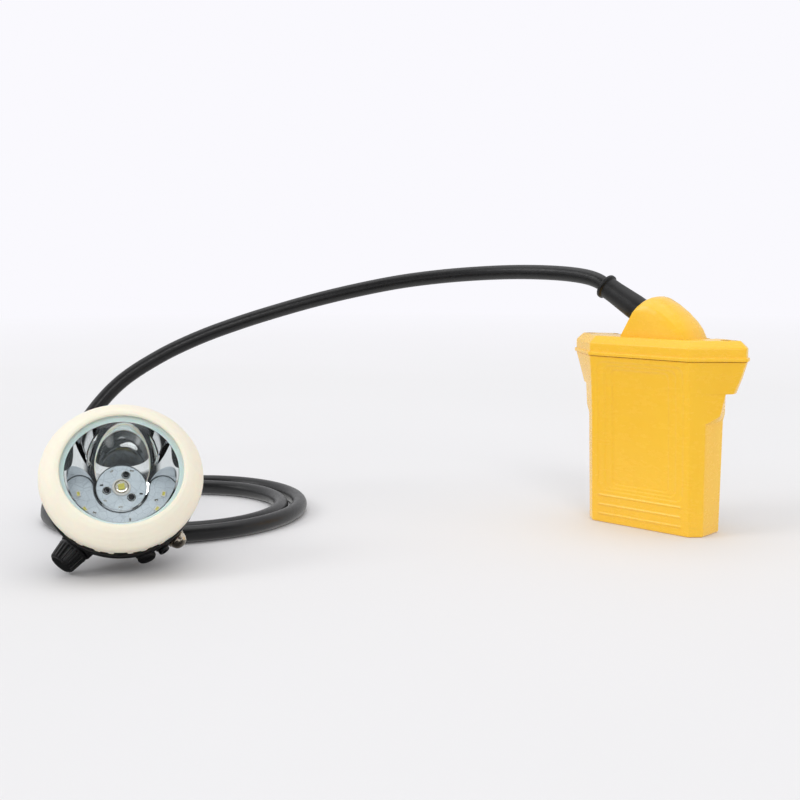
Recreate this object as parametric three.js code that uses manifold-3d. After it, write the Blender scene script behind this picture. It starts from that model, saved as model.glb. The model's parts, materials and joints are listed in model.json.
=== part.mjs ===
// Miner's cap lamp: a belt-worn battery, a rubber cable and a cap-mounted headpiece.
// Units are millimetres, +Z is up, the origin is the middle of the battery's base.
import * as THREE from 'three';
import { ConvexGeometry } from 'three/addons/geometries/ConvexGeometry.js';
import { mergeVertices } from 'three/addons/utils/BufferGeometryUtils.js';
import Module from 'manifold-3d';

const wasm = await Module();
wasm.setup();

// ---- driving dimensions -------------------------------------------------------------------
const GAP = 0.3;                 // clearance between neighbouring pieces

// battery
const FRONT_HALF = 30.2;         // half the width of the flat front
const BACK_Y = 13;               // plane of the case's back
const WALL = 2.6;                // case and lid wall
const FLOOR = 3;                 // thickness of the case floor
const CASE_TOP = 94;             // parting plane between case and lid
const LID_TOP = 105;
const LID_CHAMFER = 3.8;
const RIB_OUT = 0.9;             // how far the parting rib stands out
const RIB_HEIGHT = 2;
const FRONT_RIB_BASE = 5.2;      // lowest of the three grip ribs across the front
const FRONT_RIB_PITCH = 5.3;
const CELL_RADIUS = 9.2;
const CELL_LENGTH = 65;
const CELL_PITCH = 19.4;
const CELL_BASE = 8;
const BELT_HEIGHT = 50;          // widest belt that passes the loop
const BELT_DEPTH = 6.7;

// cable hump on the lid: side view [x, z] from its foot over the top to the flat left face
const HUMP_SIDE = [
  [25.2, 105], [23, 109.8], [19.5, 114.2], [14.5, 118.9], [9, 122.8], [3, 126], [-2, 126.9],
  [-4.6, 125.2], [-15.8, 105],
];
const HUMP_LEAN = 0.577;         // slope of the flat left face, square to the cable sleeve
// [y, share of the full height, share of the full length]
const HUMP_SECTIONS = [
  [-11.2, 0.66, 0.86], [-9.6, 0.8, 0.93], [-6.5, 0.92, 0.97], [-2, 0.98, 0.99], [3, 1, 1], [8, 1, 1],
  [11, 0.95, 0.98], [12, 0.88, 0.95],
];

// cable and its sleeves
const CABLE_RADIUS = 4.3;
const CABLE_SIDES = 8;
const CABLE_STEPS = 78;
const SLEEVE_END = new THREE.Vector3(-34.6, 1.7, 132);
const SLEEVE_RISE = 30 * Math.PI / 180;
const SLEEVE_LENGTH = 38;
const SLEEVE_SEAT = -31;         // bottom of the recess the sleeve sits in

// headpiece, measured along the lens axis from the plane where it is placed
const HEAD_PLACE = new THREE.Vector3(-136.3, -252.3, 43);
const HEAD_TURN = 59.1 * Math.PI / 180;
const HEAD_TILT = 36.8 * Math.PI / 180;    // how far the lens looks up
const HEAD_ROLL = -3.5 * Math.PI / 180;
const BEZEL_RADIUS = 38;
const BEZEL_BACK = -6.2;
const OPENING_RADIUS = 28.3;
const GRIP_COUNT = 15;           // scallops round the bezel's rear edge
const FLANGE_RADIUS = 36;
const HOUSING_BORE = 29;
const RIM_RADIUS = 26;           // mirror at its front
const RIM_Z = 9.1;
const THROAT_RADIUS = 11.4;      // mirror at its back
const THROAT_Z = -7.3;
const POCKET_INNER = 12.2;       // crescent pocket for the auxiliary board
const POCKET_OUTER = 24.9;
const POCKET_HALF_ANGLE = 89 * Math.PI / 180;
const BOARD_TOP = -7.5;
const BOARD_BOTTOM = -8.9;

// rotary switch and side fittings: angle round the lens axis from straight down, and depth
const KNOB = { angle: -38 * Math.PI / 180, z: -18, start: 34.6, length: 9.6 };
const CHARGE = { angle: 48 * Math.PI / 180, z: -15.2 };
const LOCK = { angle: 33.5 * Math.PI / 180, z: -12.8 };
const PLUG = { angle: 20 * Math.PI / 180, z: -13.8 };
const GLAND = { tilt: 143 * Math.PI / 180, y: 23.8, z: -32.2 };
const GLAND_SLEEVE_START = 6.9;
const GLAND_SLEEVE_LENGTH = 22;

// ---- materials ----------------------------------------------------------------------------
const finish = (color, roughness, metalness = 0) =>
  new THREE.MeshStandardMaterial({ color, roughness, metalness });
const yellowPlastic = () => finish(0xfdc23c, 0.35);
const creamPlastic = () => finish(0xf3ead2, 0.5);
const blackPlastic = () => finish(0x232325, 0.5);
const blackRubber = () => finish(0x1d1d1f, 0.6);
const clearGlass = () => finish(0xdfeeea, 0.05);
const chrome = () => finish(0xe8e8ea, 0.05, 1);
const nickel = () => finish(0xc8b8a4, 0.25, 1);
const steel = () => finish(0xb5b7ba, 0.35, 1);
const aluminium = () => finish(0xa9adb2, 0.45, 1);
const boardWhite = () => finish(0xd8dee4, 0.45);
const boardGreen = () => finish(0x1f6b3a, 0.5);
const ledYellow = () => finish(0xe6d35a, 0.35);
const cellBlue = () => finish(0x2f5fa8, 0.4);
const redWire = () => finish(0xb3261e, 0.5);

// ---- making solids ------------------------------------------------------------------------
function solid(geometry) {
  geometry.deleteAttribute('normal');
  geometry.deleteAttribute('uv');
  const merged = mergeVertices(geometry, 1e-4);
  const position = merged.attributes.position.array;
  const index = Uint32Array.from(merged.index.array);
  if (signedVolume(position, index) < 0) {
    for (let i = 0; i < index.length; i += 3) {
      [index[i + 1], index[i + 2]] = [index[i + 2], index[i + 1]];
    }
  }
  const mesh = new wasm.Mesh({ numProp: 3, vertProperties: Float32Array.from(position), triVerts: index });
  return new wasm.Manifold(mesh);
}

function signedVolume(position, index) {
  const corner = (i) => new THREE.Vector3().fromArray(position, 3 * i);
  let volume = 0;
  for (let i = 0; i < index.length; i += 3) {
    const cross = corner(index[i + 1]).cross(corner(index[i + 2]));
    volume += corner(index[i]).dot(cross);
  }
  return volume;
}

function surface(manifold) {
  const data = manifold.getMesh();
  const geometry = new THREE.BufferGeometry();
  geometry.setAttribute('position', new THREE.BufferAttribute(Float32Array.from(data.vertProperties), 3));
  geometry.setIndex(new THREE.BufferAttribute(Uint32Array.from(data.triVerts), 1));
  geometry.computeVertexNormals();
  return geometry;
}

function addPiece(group, name, material, manifold) {
  const mesh = new THREE.Mesh(surface(manifold), material);
  mesh.name = name;
  group.add(mesh);
  return mesh;
}

const join = (pieces) => pieces.reduce((whole, piece) => whole.add(piece));

// A closed [radius, height] outline turned about the Z axis.
function turned(outline, segments = 24) {
  const points = outline.map(([radius, z]) => new THREE.Vector2(radius, z));
  const last = outline[outline.length - 1];
  if (outline[0][0] > 0 || last[0] > 0) points.push(points[0].clone());
  return new THREE.LatheGeometry(points, segments).rotateX(Math.PI / 2);
}

function rod(radius, from, to, segments = 16) {
  return turned([[0, from], [radius, from], [radius, to], [0, to]], segments);
}

function ring(inner, outer, from, to, segments = 16) {
  return turned([[inner, from], [outer, from], [outer, to], [inner, to]], segments);
}

function hexagon(acrossFlats, from, to) {
  return rod(acrossFlats / Math.sqrt(3), from, to, 6);
}

function block(x0, x1, y0, y1, z0, z1) {
  const geometry = new THREE.BoxGeometry(x1 - x0, y1 - y0, z1 - z0);
  return geometry.translate((x0 + x1) / 2, (y0 + y1) / 2, (z0 + z1) / 2);
}

// A flat outline of [x, y] points raised from one height to another.
function prism(outline, from, to) {
  const shape = outline instanceof THREE.Shape
    ? outline
    : new THREE.Shape(outline.map(([x, y]) => new THREE.Vector2(x, y)));
  const settings = { depth: to - from, bevelEnabled: false, curveSegments: 9 };
  const geometry = new THREE.ExtrudeGeometry(shape, settings);
  return geometry.translate(0, 0, from);
}

// Convex bodies between successive plans, joined into one.
function loft(sections) {
  const bodies = [];
  for (let i = 0; i + 1 < sections.length; i += 1) {
    const corners = [];
    for (const { z, plan } of [sections[i], sections[i + 1]]) {
      plan.forEach(([x, y]) => corners.push(new THREE.Vector3(x, y, z)));
    }
    bodies.push(solid(new ConvexGeometry(corners)));
  }
  return join(bodies);
}

// The same plan with every side moved outwards, or inwards where the distance is negative.
function offset(plan, distance) {
  const count = plan.length;
  const sides = plan.map(([x, y], i) => {
    const [nx, ny] = plan[(i + 1) % count];
    const length = Math.hypot(nx - x, ny - y);
    const normal = [(ny - y) / length, (x - nx) / length];
    return { normal, reach: normal[0] * x + normal[1] * y + distance };
  });
  return plan.map((_, i) => {
    const a = sides[(i + count - 1) % count];
    const b = sides[i];
    const det = a.normal[0] * b.normal[1] - a.normal[1] * b.normal[0];
    const x = (a.reach * b.normal[1] - b.reach * a.normal[1]) / det;
    const y = (a.normal[0] * b.reach - b.normal[0] * a.reach) / det;
    return [x, y];
  });
}

function tube(points, radius, sides, steps) {
  const curve = new THREE.CatmullRomCurve3(points);
  const section = new THREE.Shape();
  for (let i = 0; i < sides; i += 1) {
    const angle = 2 * Math.PI * i / sides;
    const corner = [radius * Math.cos(angle), radius * Math.sin(angle)];
    if (i === 0) section.moveTo(...corner);
    else section.lineTo(...corner);
  }
  section.closePath();
  return new THREE.ExtrudeGeometry(section, { steps, bevelEnabled: false, extrudePath: curve });
}

// ---- battery ------------------------------------------------------------------------------
// Plan of the case, mirrored about X = 0: front edge, wing tip, wing flank and back corner.
function casePlan(frontY, tip, flank, back) {
  const right = [[FRONT_HALF, frontY], tip, flank, back];
  const left = right.map(([x, y]) => [-x, y]).reverse();
  return [...right, ...left];
}

// The narrow box below, and the wings that flare out under the lid.
const CASE_SECTIONS = [
  { z: 0, plan: casePlan(-13, [35.7, -7.5], [35.7, 10], [32.7, BACK_Y]) },
  { z: 61, plan: casePlan(-15.5, [36.2, -9.5], [36.2, 10], [33.2, BACK_Y]) },
  { z: 65, plan: casePlan(-15.8, [41.5, -4], [38.3, 7.6], [33.3, BACK_Y]) },
  { z: 76.9, plan: casePlan(-16.6, [43.6, -2.3], [38.4, 7.5], [33.4, BACK_Y]) },
  { z: 77.1, plan: casePlan(-16.6, [46.6, 0.3], [45.4, 6], [35, BACK_Y]) },
  { z: 85, plan: casePlan(-17.5, [49.7, 1], [48.5, 6], [35.5, BACK_Y]) },
  { z: CASE_TOP, plan: casePlan(-18.9, [52.7, 0.7], [51.5, 5.5], [36, BACK_Y]) },
];
const TOP_PLAN = CASE_SECTIONS[CASE_SECTIONS.length - 1].plan;
const LID_SCREWS = [[41.5, 0], [-41.5, 0], [28.5, 6.9], [-28.5, 6.9]];
const BOSS_RADIUS = 3.4;
const BELT_SCREWS = [[11, 17], [-11, 17], [11, 83], [-11, 83]];

function caseCavity() {
  const shrink = (section, z) => ({ z, plan: offset(section.plan, -WALL) });
  return loft([
    shrink(CASE_SECTIONS[0], FLOOR),
    shrink(CASE_SECTIONS[1], 79.7),
    shrink(CASE_SECTIONS[6], CASE_TOP + 0.01),
  ]);
}

// A thin wall from a screw boss to the back of the case, or to the end of its wing.
function screwWeb(x, y, from, to) {
  if (y > 5) return block(x - 1, x + 1, y, BACK_Y - 1, from, to);
  const reach = Math.sign(x) * 47;
  return block(Math.min(x, reach), Math.max(x, reach), y - 0.8, y + 0.8, from, to);
}

function makeCase(battery) {
  let body = loft(CASE_SECTIONS).subtract(caseCavity());
  const gasketSeat = solid(prism(offset(TOP_PLAN, -0.7), CASE_TOP - 1.6, CASE_TOP + 1));
  const gasketCore = solid(prism(offset(TOP_PLAN, -1.9), CASE_TOP - 1.7, CASE_TOP + 1.1));
  body = body.subtract(gasketSeat.subtract(gasketCore));
  for (const [x, y] of LID_SCREWS) {
    body = body.add(solid(rod(BOSS_RADIUS, CASE_TOP - 15, CASE_TOP, 12).translate(x, y, 0)));
    body = body.add(solid(screwWeb(x, y, CASE_TOP - 15, CASE_TOP - 2)));
    body = body.subtract(solid(rod(1.5, CASE_TOP - 12, CASE_TOP + 1, 8).translate(x, y, 0)));
  }
  for (const [x, z] of BELT_SCREWS) {
    const hole = rod(1.5, -6.2, 2, 8).rotateX(-Math.PI / 2).translate(x, BACK_Y, z);
    body = body.subtract(solid(hole));
  }
  for (let row = 0; row < 3; row += 1) {
    const z = FRONT_RIB_BASE + FRONT_RIB_PITCH * row;
    const y = -13 - 2.5 * z / 61;
    body = body.add(solid(block(-26, 26, y - 0.45, y + 1, z - 0.7, z + 0.7)));
  }
  addPiece(battery, 'battery_case', yellowPlastic(), body);
}

// The hump grown by a distance, between two depths, reaching down to the given foot.
function humpSolid(grow, front, back, foot) {
  const leftAt = (z) => -15.8 + HUMP_LEAN * (z - LID_TOP);
  const side = offset([[26, foot], ...HUMP_SIDE, [leftAt(foot), foot]], grow);
  const corners = [];
  for (const [y, height, length] of HUMP_SECTIONS) {
    for (const [x, z] of side) {
      const level = LID_TOP + height * (z - LID_TOP);
      const across = leftAt(level) + length * (x - leftAt(z));
      corners.push(new THREE.Vector3(across, THREE.MathUtils.clamp(y, front, back), level));
    }
  }
  return solid(new ConvexGeometry(corners));
}

// A group whose +Z axis runs out along the cable sleeve, starting at the sleeve's outer end.
function sleeveGroup() {
  const group = new THREE.Group();
  group.position.copy(SLEEVE_END);
  group.rotation.y = SLEEVE_RISE - Math.PI / 2;
  group.updateMatrix();
  return group;
}

function makeLid(battery) {
  const inner = offset(TOP_PLAN, -WALL);
  let lid = loft([
    { z: CASE_TOP + GAP + RIB_HEIGHT, plan: TOP_PLAN },
    { z: LID_TOP - LID_CHAMFER, plan: TOP_PLAN },
    { z: LID_TOP, plan: offset(TOP_PLAN, -LID_CHAMFER) },
  ]);
  lid = lid.add(solid(prism(offset(TOP_PLAN, RIB_OUT), CASE_TOP + GAP, CASE_TOP + GAP + RIB_HEIGHT)));
  lid = lid.add(humpSolid(0, -11.2, 12, LID_TOP - 3.5));
  const hollow = loft([
    { z: CASE_TOP, plan: inner },
    { z: LID_TOP - 4.6, plan: inner },
    { z: LID_TOP - 2.6, plan: offset(inner, -2) },
  ]);
  lid = lid.subtract(hollow).subtract(humpSolid(-WALL, -8.6, 9.4, LID_TOP - 11));
  const sleeve = sleeveGroup().matrix;
  lid = lid.subtract(solid(rod(7.2, SLEEVE_SEAT, -25, 20).applyMatrix4(sleeve)));
  lid = lid.subtract(solid(rod(5.3, -37, -25, 20).applyMatrix4(sleeve)));
  for (const [x, y] of LID_SCREWS) {
    lid = lid.add(solid(rod(BOSS_RADIUS, CASE_TOP + GAP, LID_TOP - 1, 12).translate(x, y, 0)));
    lid = lid.add(solid(screwWeb(x, y, CASE_TOP + GAP, LID_TOP - 4)));
    lid = lid.subtract(solid(rod(1.6, CASE_TOP - 1, LID_TOP + 1, 8).translate(x, y, 0)));
    lid = lid.subtract(solid(rod(2.9, LID_TOP - 2.6, LID_TOP + 1, 12).translate(x, y, 0)));
  }
  addPiece(battery, 'battery_lid', yellowPlastic(), lid);
}

function makeLidFixings(battery) {
  const outer = solid(prism(offset(TOP_PLAN, -0.95), CASE_TOP - 1.3, CASE_TOP));
  const core = solid(prism(offset(TOP_PLAN, -1.65), CASE_TOP - 1.4, CASE_TOP + 0.1));
  addPiece(battery, 'lid_gasket', blackRubber(), outer.subtract(core));
  LID_SCREWS.forEach(([x, y], i) => {
    const head = [[0, -10], [1.2, -10], [1.2, 8.8], [2.5, 8.8], [2.5, 10.8], [0, 10.8]];
    const screw = turned(head, 10).translate(x, y, CASE_TOP);
    addPiece(battery, `lid_screw_${i + 1}`, steel(), solid(screw));
  });
}

function makeCells(battery) {
  const cellTop = CELL_BASE + CELL_LENGTH;
  const places = [-1, 0, 1].map((column) => column * CELL_PITCH);
  places.forEach((x, i) => {
    const cell = turned([
      [0, CELL_BASE], [CELL_RADIUS, CELL_BASE], [CELL_RADIUS, cellTop - 1], [3.6, cellTop - 1],
      [3.6, cellTop], [0, cellTop],
    ], 20);
    addPiece(battery, `cell_${i + 1}`, cellBlue(), solid(cell.translate(x, 0, 0)));
  });
  const tray = (from, to, wellFrom, wellTo) => {
    let body = solid(prism(offset(CASE_SECTIONS[0].plan, -WALL - GAP), from, to));
    for (const x of places) {
      body = body.subtract(solid(rod(CELL_RADIUS + GAP, wellFrom, wellTo, 20).translate(x, 0, 0)));
    }
    return body;
  };
  const contactSlot = solid(block(-24, 24, -3, 3, 6.4, 7.7));
  addPiece(battery, 'cell_tray_lower', blackPlastic(), tray(FLOOR + GAP, 14, 7.4, 20).subtract(contactSlot));
  addPiece(battery, 'cell_tray_upper', blackPlastic(), tray(66, 71, 60, 80));
  addPiece(battery, 'contact_strip_lower', nickel(), solid(block(-23, 23, -2.4, 2.4, 7, 7.6)));
  addPiece(battery, 'contact_strip_upper', nickel(), solid(block(-23, 23, -2.4, 2.4, 73.4, 74)));
  addPiece(battery, 'protection_board', boardGreen(), solid(block(-26, 26, -9, 9, 77, 78.6)));
}

function makeLeads(battery) {
  const lead = (name, material, y, x) => {
    const points = [[-1.4, y, 112.8], [2.4, y, 110.4], [x - 2, y, 103], [x, y, 94], [x, y, 79.1]];
    const route = points.map((point) => new THREE.Vector3(...point));
    addPiece(battery, name, material, solid(tube(route, 1.2, 8, 10)));
  };
  lead('lead_positive', redWire(), 3.6, 11);
  lead('lead_negative', blackRubber(), -0.2, 7);
}

function makeBeltLoop(battery) {
  const near = BACK_Y + GAP;
  const far = near + BELT_DEPTH;
  const low = 50 - BELT_HEIGHT / 2;
  const high = 50 + BELT_HEIGHT / 2;
  const plate = 2.5;
  // side view [y, z], carried across the width
  const side = [
    [near, low - 13], [near + plate, low - 13], [near + plate, low - 2.5], [far, low - 2.5],
    [far + plate, low], [far + plate, high], [far, high + 2.5], [near + plate, high + 2.5],
    [near + plate, high + 13], [near, high + 13], [near, high], [far, high], [far, low], [near, low],
  ];
  let loop = solid(prism(side, -17, 17).rotateY(Math.PI / 2).rotateX(Math.PI / 2));
  BELT_SCREWS.forEach(([x, z], i) => {
    const along = (geometry) => geometry.rotateX(-Math.PI / 2).translate(x, near + plate, z);
    loop = loop.subtract(solid(along(rod(1.6, -6, 3, 8))));
    const screw = along(turned([[0, -7.6], [1.2, -7.6], [1.2, GAP], [2.6, GAP], [2.2, 1.9], [0, 1.9]], 10));
    addPiece(battery, `belt_loop_screw_${i + 1}`, steel(), solid(screw));
  });
  addPiece(battery, 'belt_loop', blackPlastic(), loop);
}

function makeCableSleeve(lamp) {
  const group = sleeveGroup();
  const bore = CABLE_RADIUS + 0.4;
  const seat = SLEEVE_SEAT + GAP;
  const outline = [
    [bore, 0], [7.1, 0], [7.15, -2.2], [6.1, -2.6], [6.15, -8], [6.9, -23], [6.9, seat],
    [4.9, seat], [4.9, -SLEEVE_LENGTH], [3.4, -SLEEVE_LENGTH], [3.4, -4], [bore, -3],
  ];
  addPiece(group, 'battery_cable_sleeve', blackRubber(), solid(turned(outline, 20)));
  const nut = solid(hexagon(12, -35.8, -32.7)).subtract(solid(rod(5.2, -40, -20, 16)));
  addPiece(group, 'sleeve_nut', blackPlastic(), nut);
  lamp.add(group);
}

// ---- headpiece ----------------------------------------------------------------------------
const BEZEL_OUTLINE = [
  [34.9, BEZEL_BACK], [36.2, -3], [37.1, 0], [37.7, 3], [BEZEL_RADIUS, 5], [37.6, 7.2], [36.4, 9.2],
  [34.6, 11.2], [32.4, 13], [30.3, 13.9], [28.9, 13.9], [OPENING_RADIUS, 13.3], [OPENING_RADIUS, 12.6],
  [31, 12.6], [31, 1.6], [33.4, 1.6], [33.4, BEZEL_BACK],
];

function makeBezel(head) {
  let bezel = solid(turned(BEZEL_OUTLINE, 45));
  for (let i = 0; i < GRIP_COUNT; i += 1) {
    const angle = 2 * Math.PI * i / GRIP_COUNT;
    const turnTo = (geometry, extra) => geometry.rotateZ(angle + extra);
    const scallop = rod(2.9, 30, 44, 10).scale(1, 1.25, 1).rotateX(Math.PI / 2).translate(0, 0, BEZEL_BACK);
    bezel = bezel.subtract(solid(turnTo(scallop, 0)));
    const notch = block(-1.9, 1.9, -44, -30, BEZEL_BACK - 1, BEZEL_BACK + 1.5);
    bezel = bezel.subtract(solid(turnTo(notch, Math.PI / GRIP_COUNT)));
  }
  addPiece(head, 'bezel_ring', creamPlastic(), bezel);
}

function makeLens(head) {
  addPiece(head, 'lens', clearGlass(), solid(rod(30.2, 9.4, 12.3, 36)));
  addPiece(head, 'lens_gasket', blackRubber(), solid(ring(27.9, 30.4, 7.6, 9.1, 36)));
}

// An arc-shaped band round the lower half of the axis, with round ends.
function crescent(inner, outer, from, to) {
  const middle = (inner + outer) / 2;
  const half = (outer - inner) / 2;
  const start = -Math.PI / 2 - POCKET_HALF_ANGLE;
  const end = -Math.PI / 2 + POCKET_HALF_ANGLE;
  const shape = new THREE.Shape();
  const roundEnd = (angle, from) => {
    shape.absarc(middle * Math.cos(angle), middle * Math.sin(angle), half, from, from + Math.PI, false);
  };
  shape.absarc(0, 0, outer, start, end, false);
  roundEnd(end, end);
  shape.absarc(0, 0, inner, end, start, true);
  roundEnd(start, start + Math.PI);
  return prism(shape, from, to);
}

function mirrorCurve(extra, rows = 6) {
  const points = [];
  for (let i = 0; i <= rows; i += 1) {
    const radius = THREE.MathUtils.lerp(THROAT_RADIUS, RIM_RADIUS, i / rows);
    const share = (radius ** 2 - THROAT_RADIUS ** 2) / (RIM_RADIUS ** 2 - THROAT_RADIUS ** 2);
    points.push([radius + extra, THREE.MathUtils.lerp(THROAT_Z, RIM_Z, share)]);
  }
  return points;
}

function makeReflector(head) {
  const shell = mirrorCurve(1.4).slice(0, 6);
  const outer = [
    [0, -8.6], [THROAT_RADIUS + 1.2, -8.6], ...shell, [27.2, 6], [30.6, 6], [30.6, 7.3],
    [27.6, 7.3], [27.6, RIM_Z], [0, RIM_Z],
  ];
  const cavity = [[0, -9], [THROAT_RADIUS, -9], ...mirrorCurve(0), [RIM_RADIUS, RIM_Z + 1], [0, RIM_Z + 1]];
  let mirror = solid(turned(outer, 36));
  mirror = mirror.add(solid(crescent(POCKET_INNER - 1, POCKET_OUTER + 1.1, -8.6, 6.6)));
  mirror = mirror.add(solid(ring(28.9, 30.1, -4, 6.5, 36)));
  mirror = mirror.add(solid(ring(26.4, 29.5, 5.6, 6.6, 36)));
  mirror = mirror.subtract(solid(turned(cavity, 36)));
  mirror = mirror.subtract(solid(crescent(POCKET_INNER, POCKET_OUTER, -10, RIM_Z + 2)));
  addPiece(head, 'reflector', chrome(), mirror);
}

function makeLights(head) {
  const screwPlaces = [0, 1, 2].map((i) => 73 * Math.PI / 180 + 2 * Math.PI * i / 3);
  const screwRadius = 6.6;
  let sink = solid(rod(HOUSING_BORE - GAP, -11, BOARD_BOTTOM - GAP, 36));
  let board = solid(rod(THROAT_RADIUS - GAP, BOARD_BOTTOM, BOARD_TOP, 30));
  screwPlaces.forEach((angle, i) => {
    const x = screwRadius * Math.cos(angle);
    const y = screwRadius * Math.sin(angle);
    const hole = solid(rod(1.1, -13, 0, 10).translate(x, y, 0));
    sink = sink.subtract(hole);
    board = board.subtract(hole);
    const outline = [
      [0, -11.6], [0.8, -11.6], [0.8, BOARD_TOP + GAP], [1.4, BOARD_TOP + GAP], [1.2, -6.3], [0, -6.3],
    ];
    addPiece(head, `board_screw_${i + 1}`, steel(), solid(turned(outline, 12).translate(x, y, 0)));
  });
  addPiece(head, 'heat_sink', aluminium(), sink);
  addPiece(head, 'main_led_board', boardWhite(), board);
  const led = [
    [0, BOARD_TOP + GAP], [4.2, BOARD_TOP + GAP], [4.2, -6.3], [2.7, -6.1], [2.4, -5], [1.4, -4.2], [0, -3.9],
  ];
  addPiece(head, 'main_led', ledYellow(), solid(turned(led, 20)));
  addPiece(head, 'aux_led_board', boardWhite(),
    solid(crescent(POCKET_INNER + 0.4, POCKET_OUTER - 0.3, BOARD_BOTTOM, BOARD_TOP)));
  [-80, -56, -30, 30, 56, 80].forEach((degrees, i) => {
    const chip = block(-1.4, 1.4, -20.2, -18.2, BOARD_TOP + GAP, BOARD_TOP + 1.1);
    addPiece(head, `aux_led_${i + 1}`, ledYellow(), solid(chip.rotateZ(degrees * Math.PI / 180)));
  });
  addPiece(head, 'driver_board', boardGreen(), solid(rod(14, -27.2, -25.6, 24)));
}

// A group whose +Z axis points straight out from the lens axis at the given angle and depth.
function radialGroup({ angle, z }) {
  const group = new THREE.Group();
  group.position.z = z;
  group.rotation.set(Math.PI / 2, 0, angle, 'ZXY');
  group.updateMatrix();
  return group;
}

function glandGroup() {
  const group = new THREE.Group();
  group.position.set(0, GLAND.y, GLAND.z);
  group.rotation.x = -GLAND.tilt;
  group.updateMatrix();
  return group;
}

function makeHousing(head) {
  const outline = [
    [0, -36.5], [20, -36.2], [22.8, -32], [26.4, -26], [30.8, -18], [33, -9.2], [FLANGE_RADIUS, -9.2],
    [FLANGE_RADIUS, BEZEL_BACK - 0.4], [33, BEZEL_BACK - 0.4], [33, 1], [0, 1],
  ];
  const cavity = [
    [0, -33.4], [18.5, -33.4], [22, -28], [26.5, -20], [HOUSING_BORE, -12], [HOUSING_BORE, -4.3],
    [30.4, -4.3], [30.4, 2], [0, 2],
  ];
  let body = solid(turned(outline, 36));
  // place, boss radius, boss top, bore radius
  const fittings = [
    [KNOB, 8, 34.2, 3.1], [CHARGE, 5.4, 34.2, 3.6], [LOCK, 3.2, 35.2, 1.5], [PLUG, 4.7, 34.4, 2.6],
  ];
  for (const [place, boss, top] of fittings) {
    body = body.add(solid(rod(boss, 20, top, 16).applyMatrix4(radialGroup(place).matrix)));
  }
  const gland = glandGroup().matrix;
  body = body.add(solid(rod(7.8, -9, 1.2, 16).applyMatrix4(gland)));
  body = body.subtract(solid(turned(cavity, 36)));
  for (const [place, , , bore] of fittings) {
    body = body.subtract(solid(rod(bore, 24, 40, 12).applyMatrix4(radialGroup(place).matrix)));
  }
  body = body.subtract(solid(rod(5.7, -14, 3, 16).applyMatrix4(gland)));
  for (const y of [-11, 9]) {
    body = body.subtract(solid(rod(1.5, -38, -30, 10).translate(0, y, 0)));
  }
  addPiece(head, 'headpiece_housing', blackPlastic(), body);
}

function makeSwitch(head) {
  const group = radialGroup(KNOB);
  const grooves = 16;
  const knobEnd = KNOB.start + KNOB.length;
  let knob = solid(turned([
    [0, KNOB.start], [7.4, KNOB.start], [7.4, KNOB.start + 1.4], [6.3, knobEnd - 0.6], [5.7, knobEnd],
    [0, knobEnd],
  ], 32));
  for (let i = 0; i < grooves; i += 1) {
    const groove = rod(0.6, KNOB.start + 1.6, knobEnd + 1, 4).translate(7, 0, 0);
    knob = knob.subtract(solid(groove.rotateZ(2 * Math.PI * i / grooves)));
  }
  knob = knob.subtract(solid(rod(2.3, KNOB.start - 1, KNOB.start + 6.3, 16)));
  addPiece(group, 'switch_knob', blackPlastic(), knob);
  addPiece(group, 'switch_spindle', steel(), solid(rod(2, 14, KNOB.start + 6, 16)));
  addPiece(group, 'switch_contact_disc', nickel(), solid(ring(2.3, 4.6, 21.5, 23.5)));
  addPiece(group, 'knob_o_ring', blackRubber(), solid(ring(2.3, 2.8, 31, 33.4)));
  addPiece(group, 'switch_base', blackPlastic(), solid(ring(2.3, 5, 15.5, 21)));
  head.add(group);
}

function makeSideFittings(head) {
  const charge = radialGroup(CHARGE);
  const dome = [
    [0, 22.8], [1.8, 22.8], [1.8, 35.6], [4.2, 35.6], [4.1, 37], [3.3, 38.6], [1.9, 39.5], [0, 39.8],
  ];
  addPiece(charge, 'charge_contact', nickel(), solid(turned(dome, 20)));
  addPiece(charge, 'contact_washer', nickel(), solid(ring(2.1, 4.7, 34.5, 35.3, 20)));
  addPiece(charge, 'contact_bush', blackPlastic(), solid(ring(2.1, 3.3, 29.3, 34.2)));
  const nut = solid(hexagon(6.4, 23.6, 26.4)).subtract(solid(rod(2.1, 20, 30, 16)));
  addPiece(charge, 'contact_nut', steel(), nut);
  head.add(charge);

  const lock = radialGroup(LOCK);
  const screw = [[0, 30], [1.2, 30], [1.2, 35.5], [2.7, 35.5], [2.5, 37.2], [0, 37.2]];
  addPiece(lock, 'bezel_lock_screw', steel(), solid(turned(screw, 16)));
  head.add(lock);

  const plug = radialGroup(PLUG);
  const stopper = [[0, 30], [2.3, 30], [2.3, 34.7], [4.4, 34.7], [4.2, 36.6], [2.8, 37.4], [0, 37.6]];
  addPiece(plug, 'seal_plug', blackRubber(), solid(turned(stopper, 16)));
  head.add(plug);
}

function makeCapHook(head) {
  const back = -36.5 - GAP;
  const plate = 1.6;
  // side view [y, z]: base plate on the housing, step back, then the tongue
  const side = [
    [-15, back], [14, back], [14, back - plate], [-6.8, back - plate], [-6.8, back - 6.2],
    [9, back - 6.2], [12.5, back - 4.9], [13, back - 6.3], [9.4, back - 6.2 - plate],
    [-8.4, back - 6.2 - plate], [-8.4, back - plate], [-15, back - plate],
  ];
  const across = (geometry) => geometry.rotateY(Math.PI / 2).rotateX(Math.PI / 2);
  let hook = solid(across(prism(side, -8, 8)));
  [-11, 9].forEach((y, i) => {
    hook = hook.subtract(solid(rod(1.6, back - 5, back + 1, 12).translate(0, y, 0)));
    const reach = back - plate - GAP;
    const outline = [[0, reach - 1.3], [2.2, reach - 1.2], [2.5, reach], [1.2, reach], [1.2, -32], [0, -32]];
    addPiece(head, `hook_screw_${i + 1}`, steel(), solid(turned(outline, 12).translate(0, y, 0)));
  });
  addPiece(head, 'cap_hook', steel(), hook);
}

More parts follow.
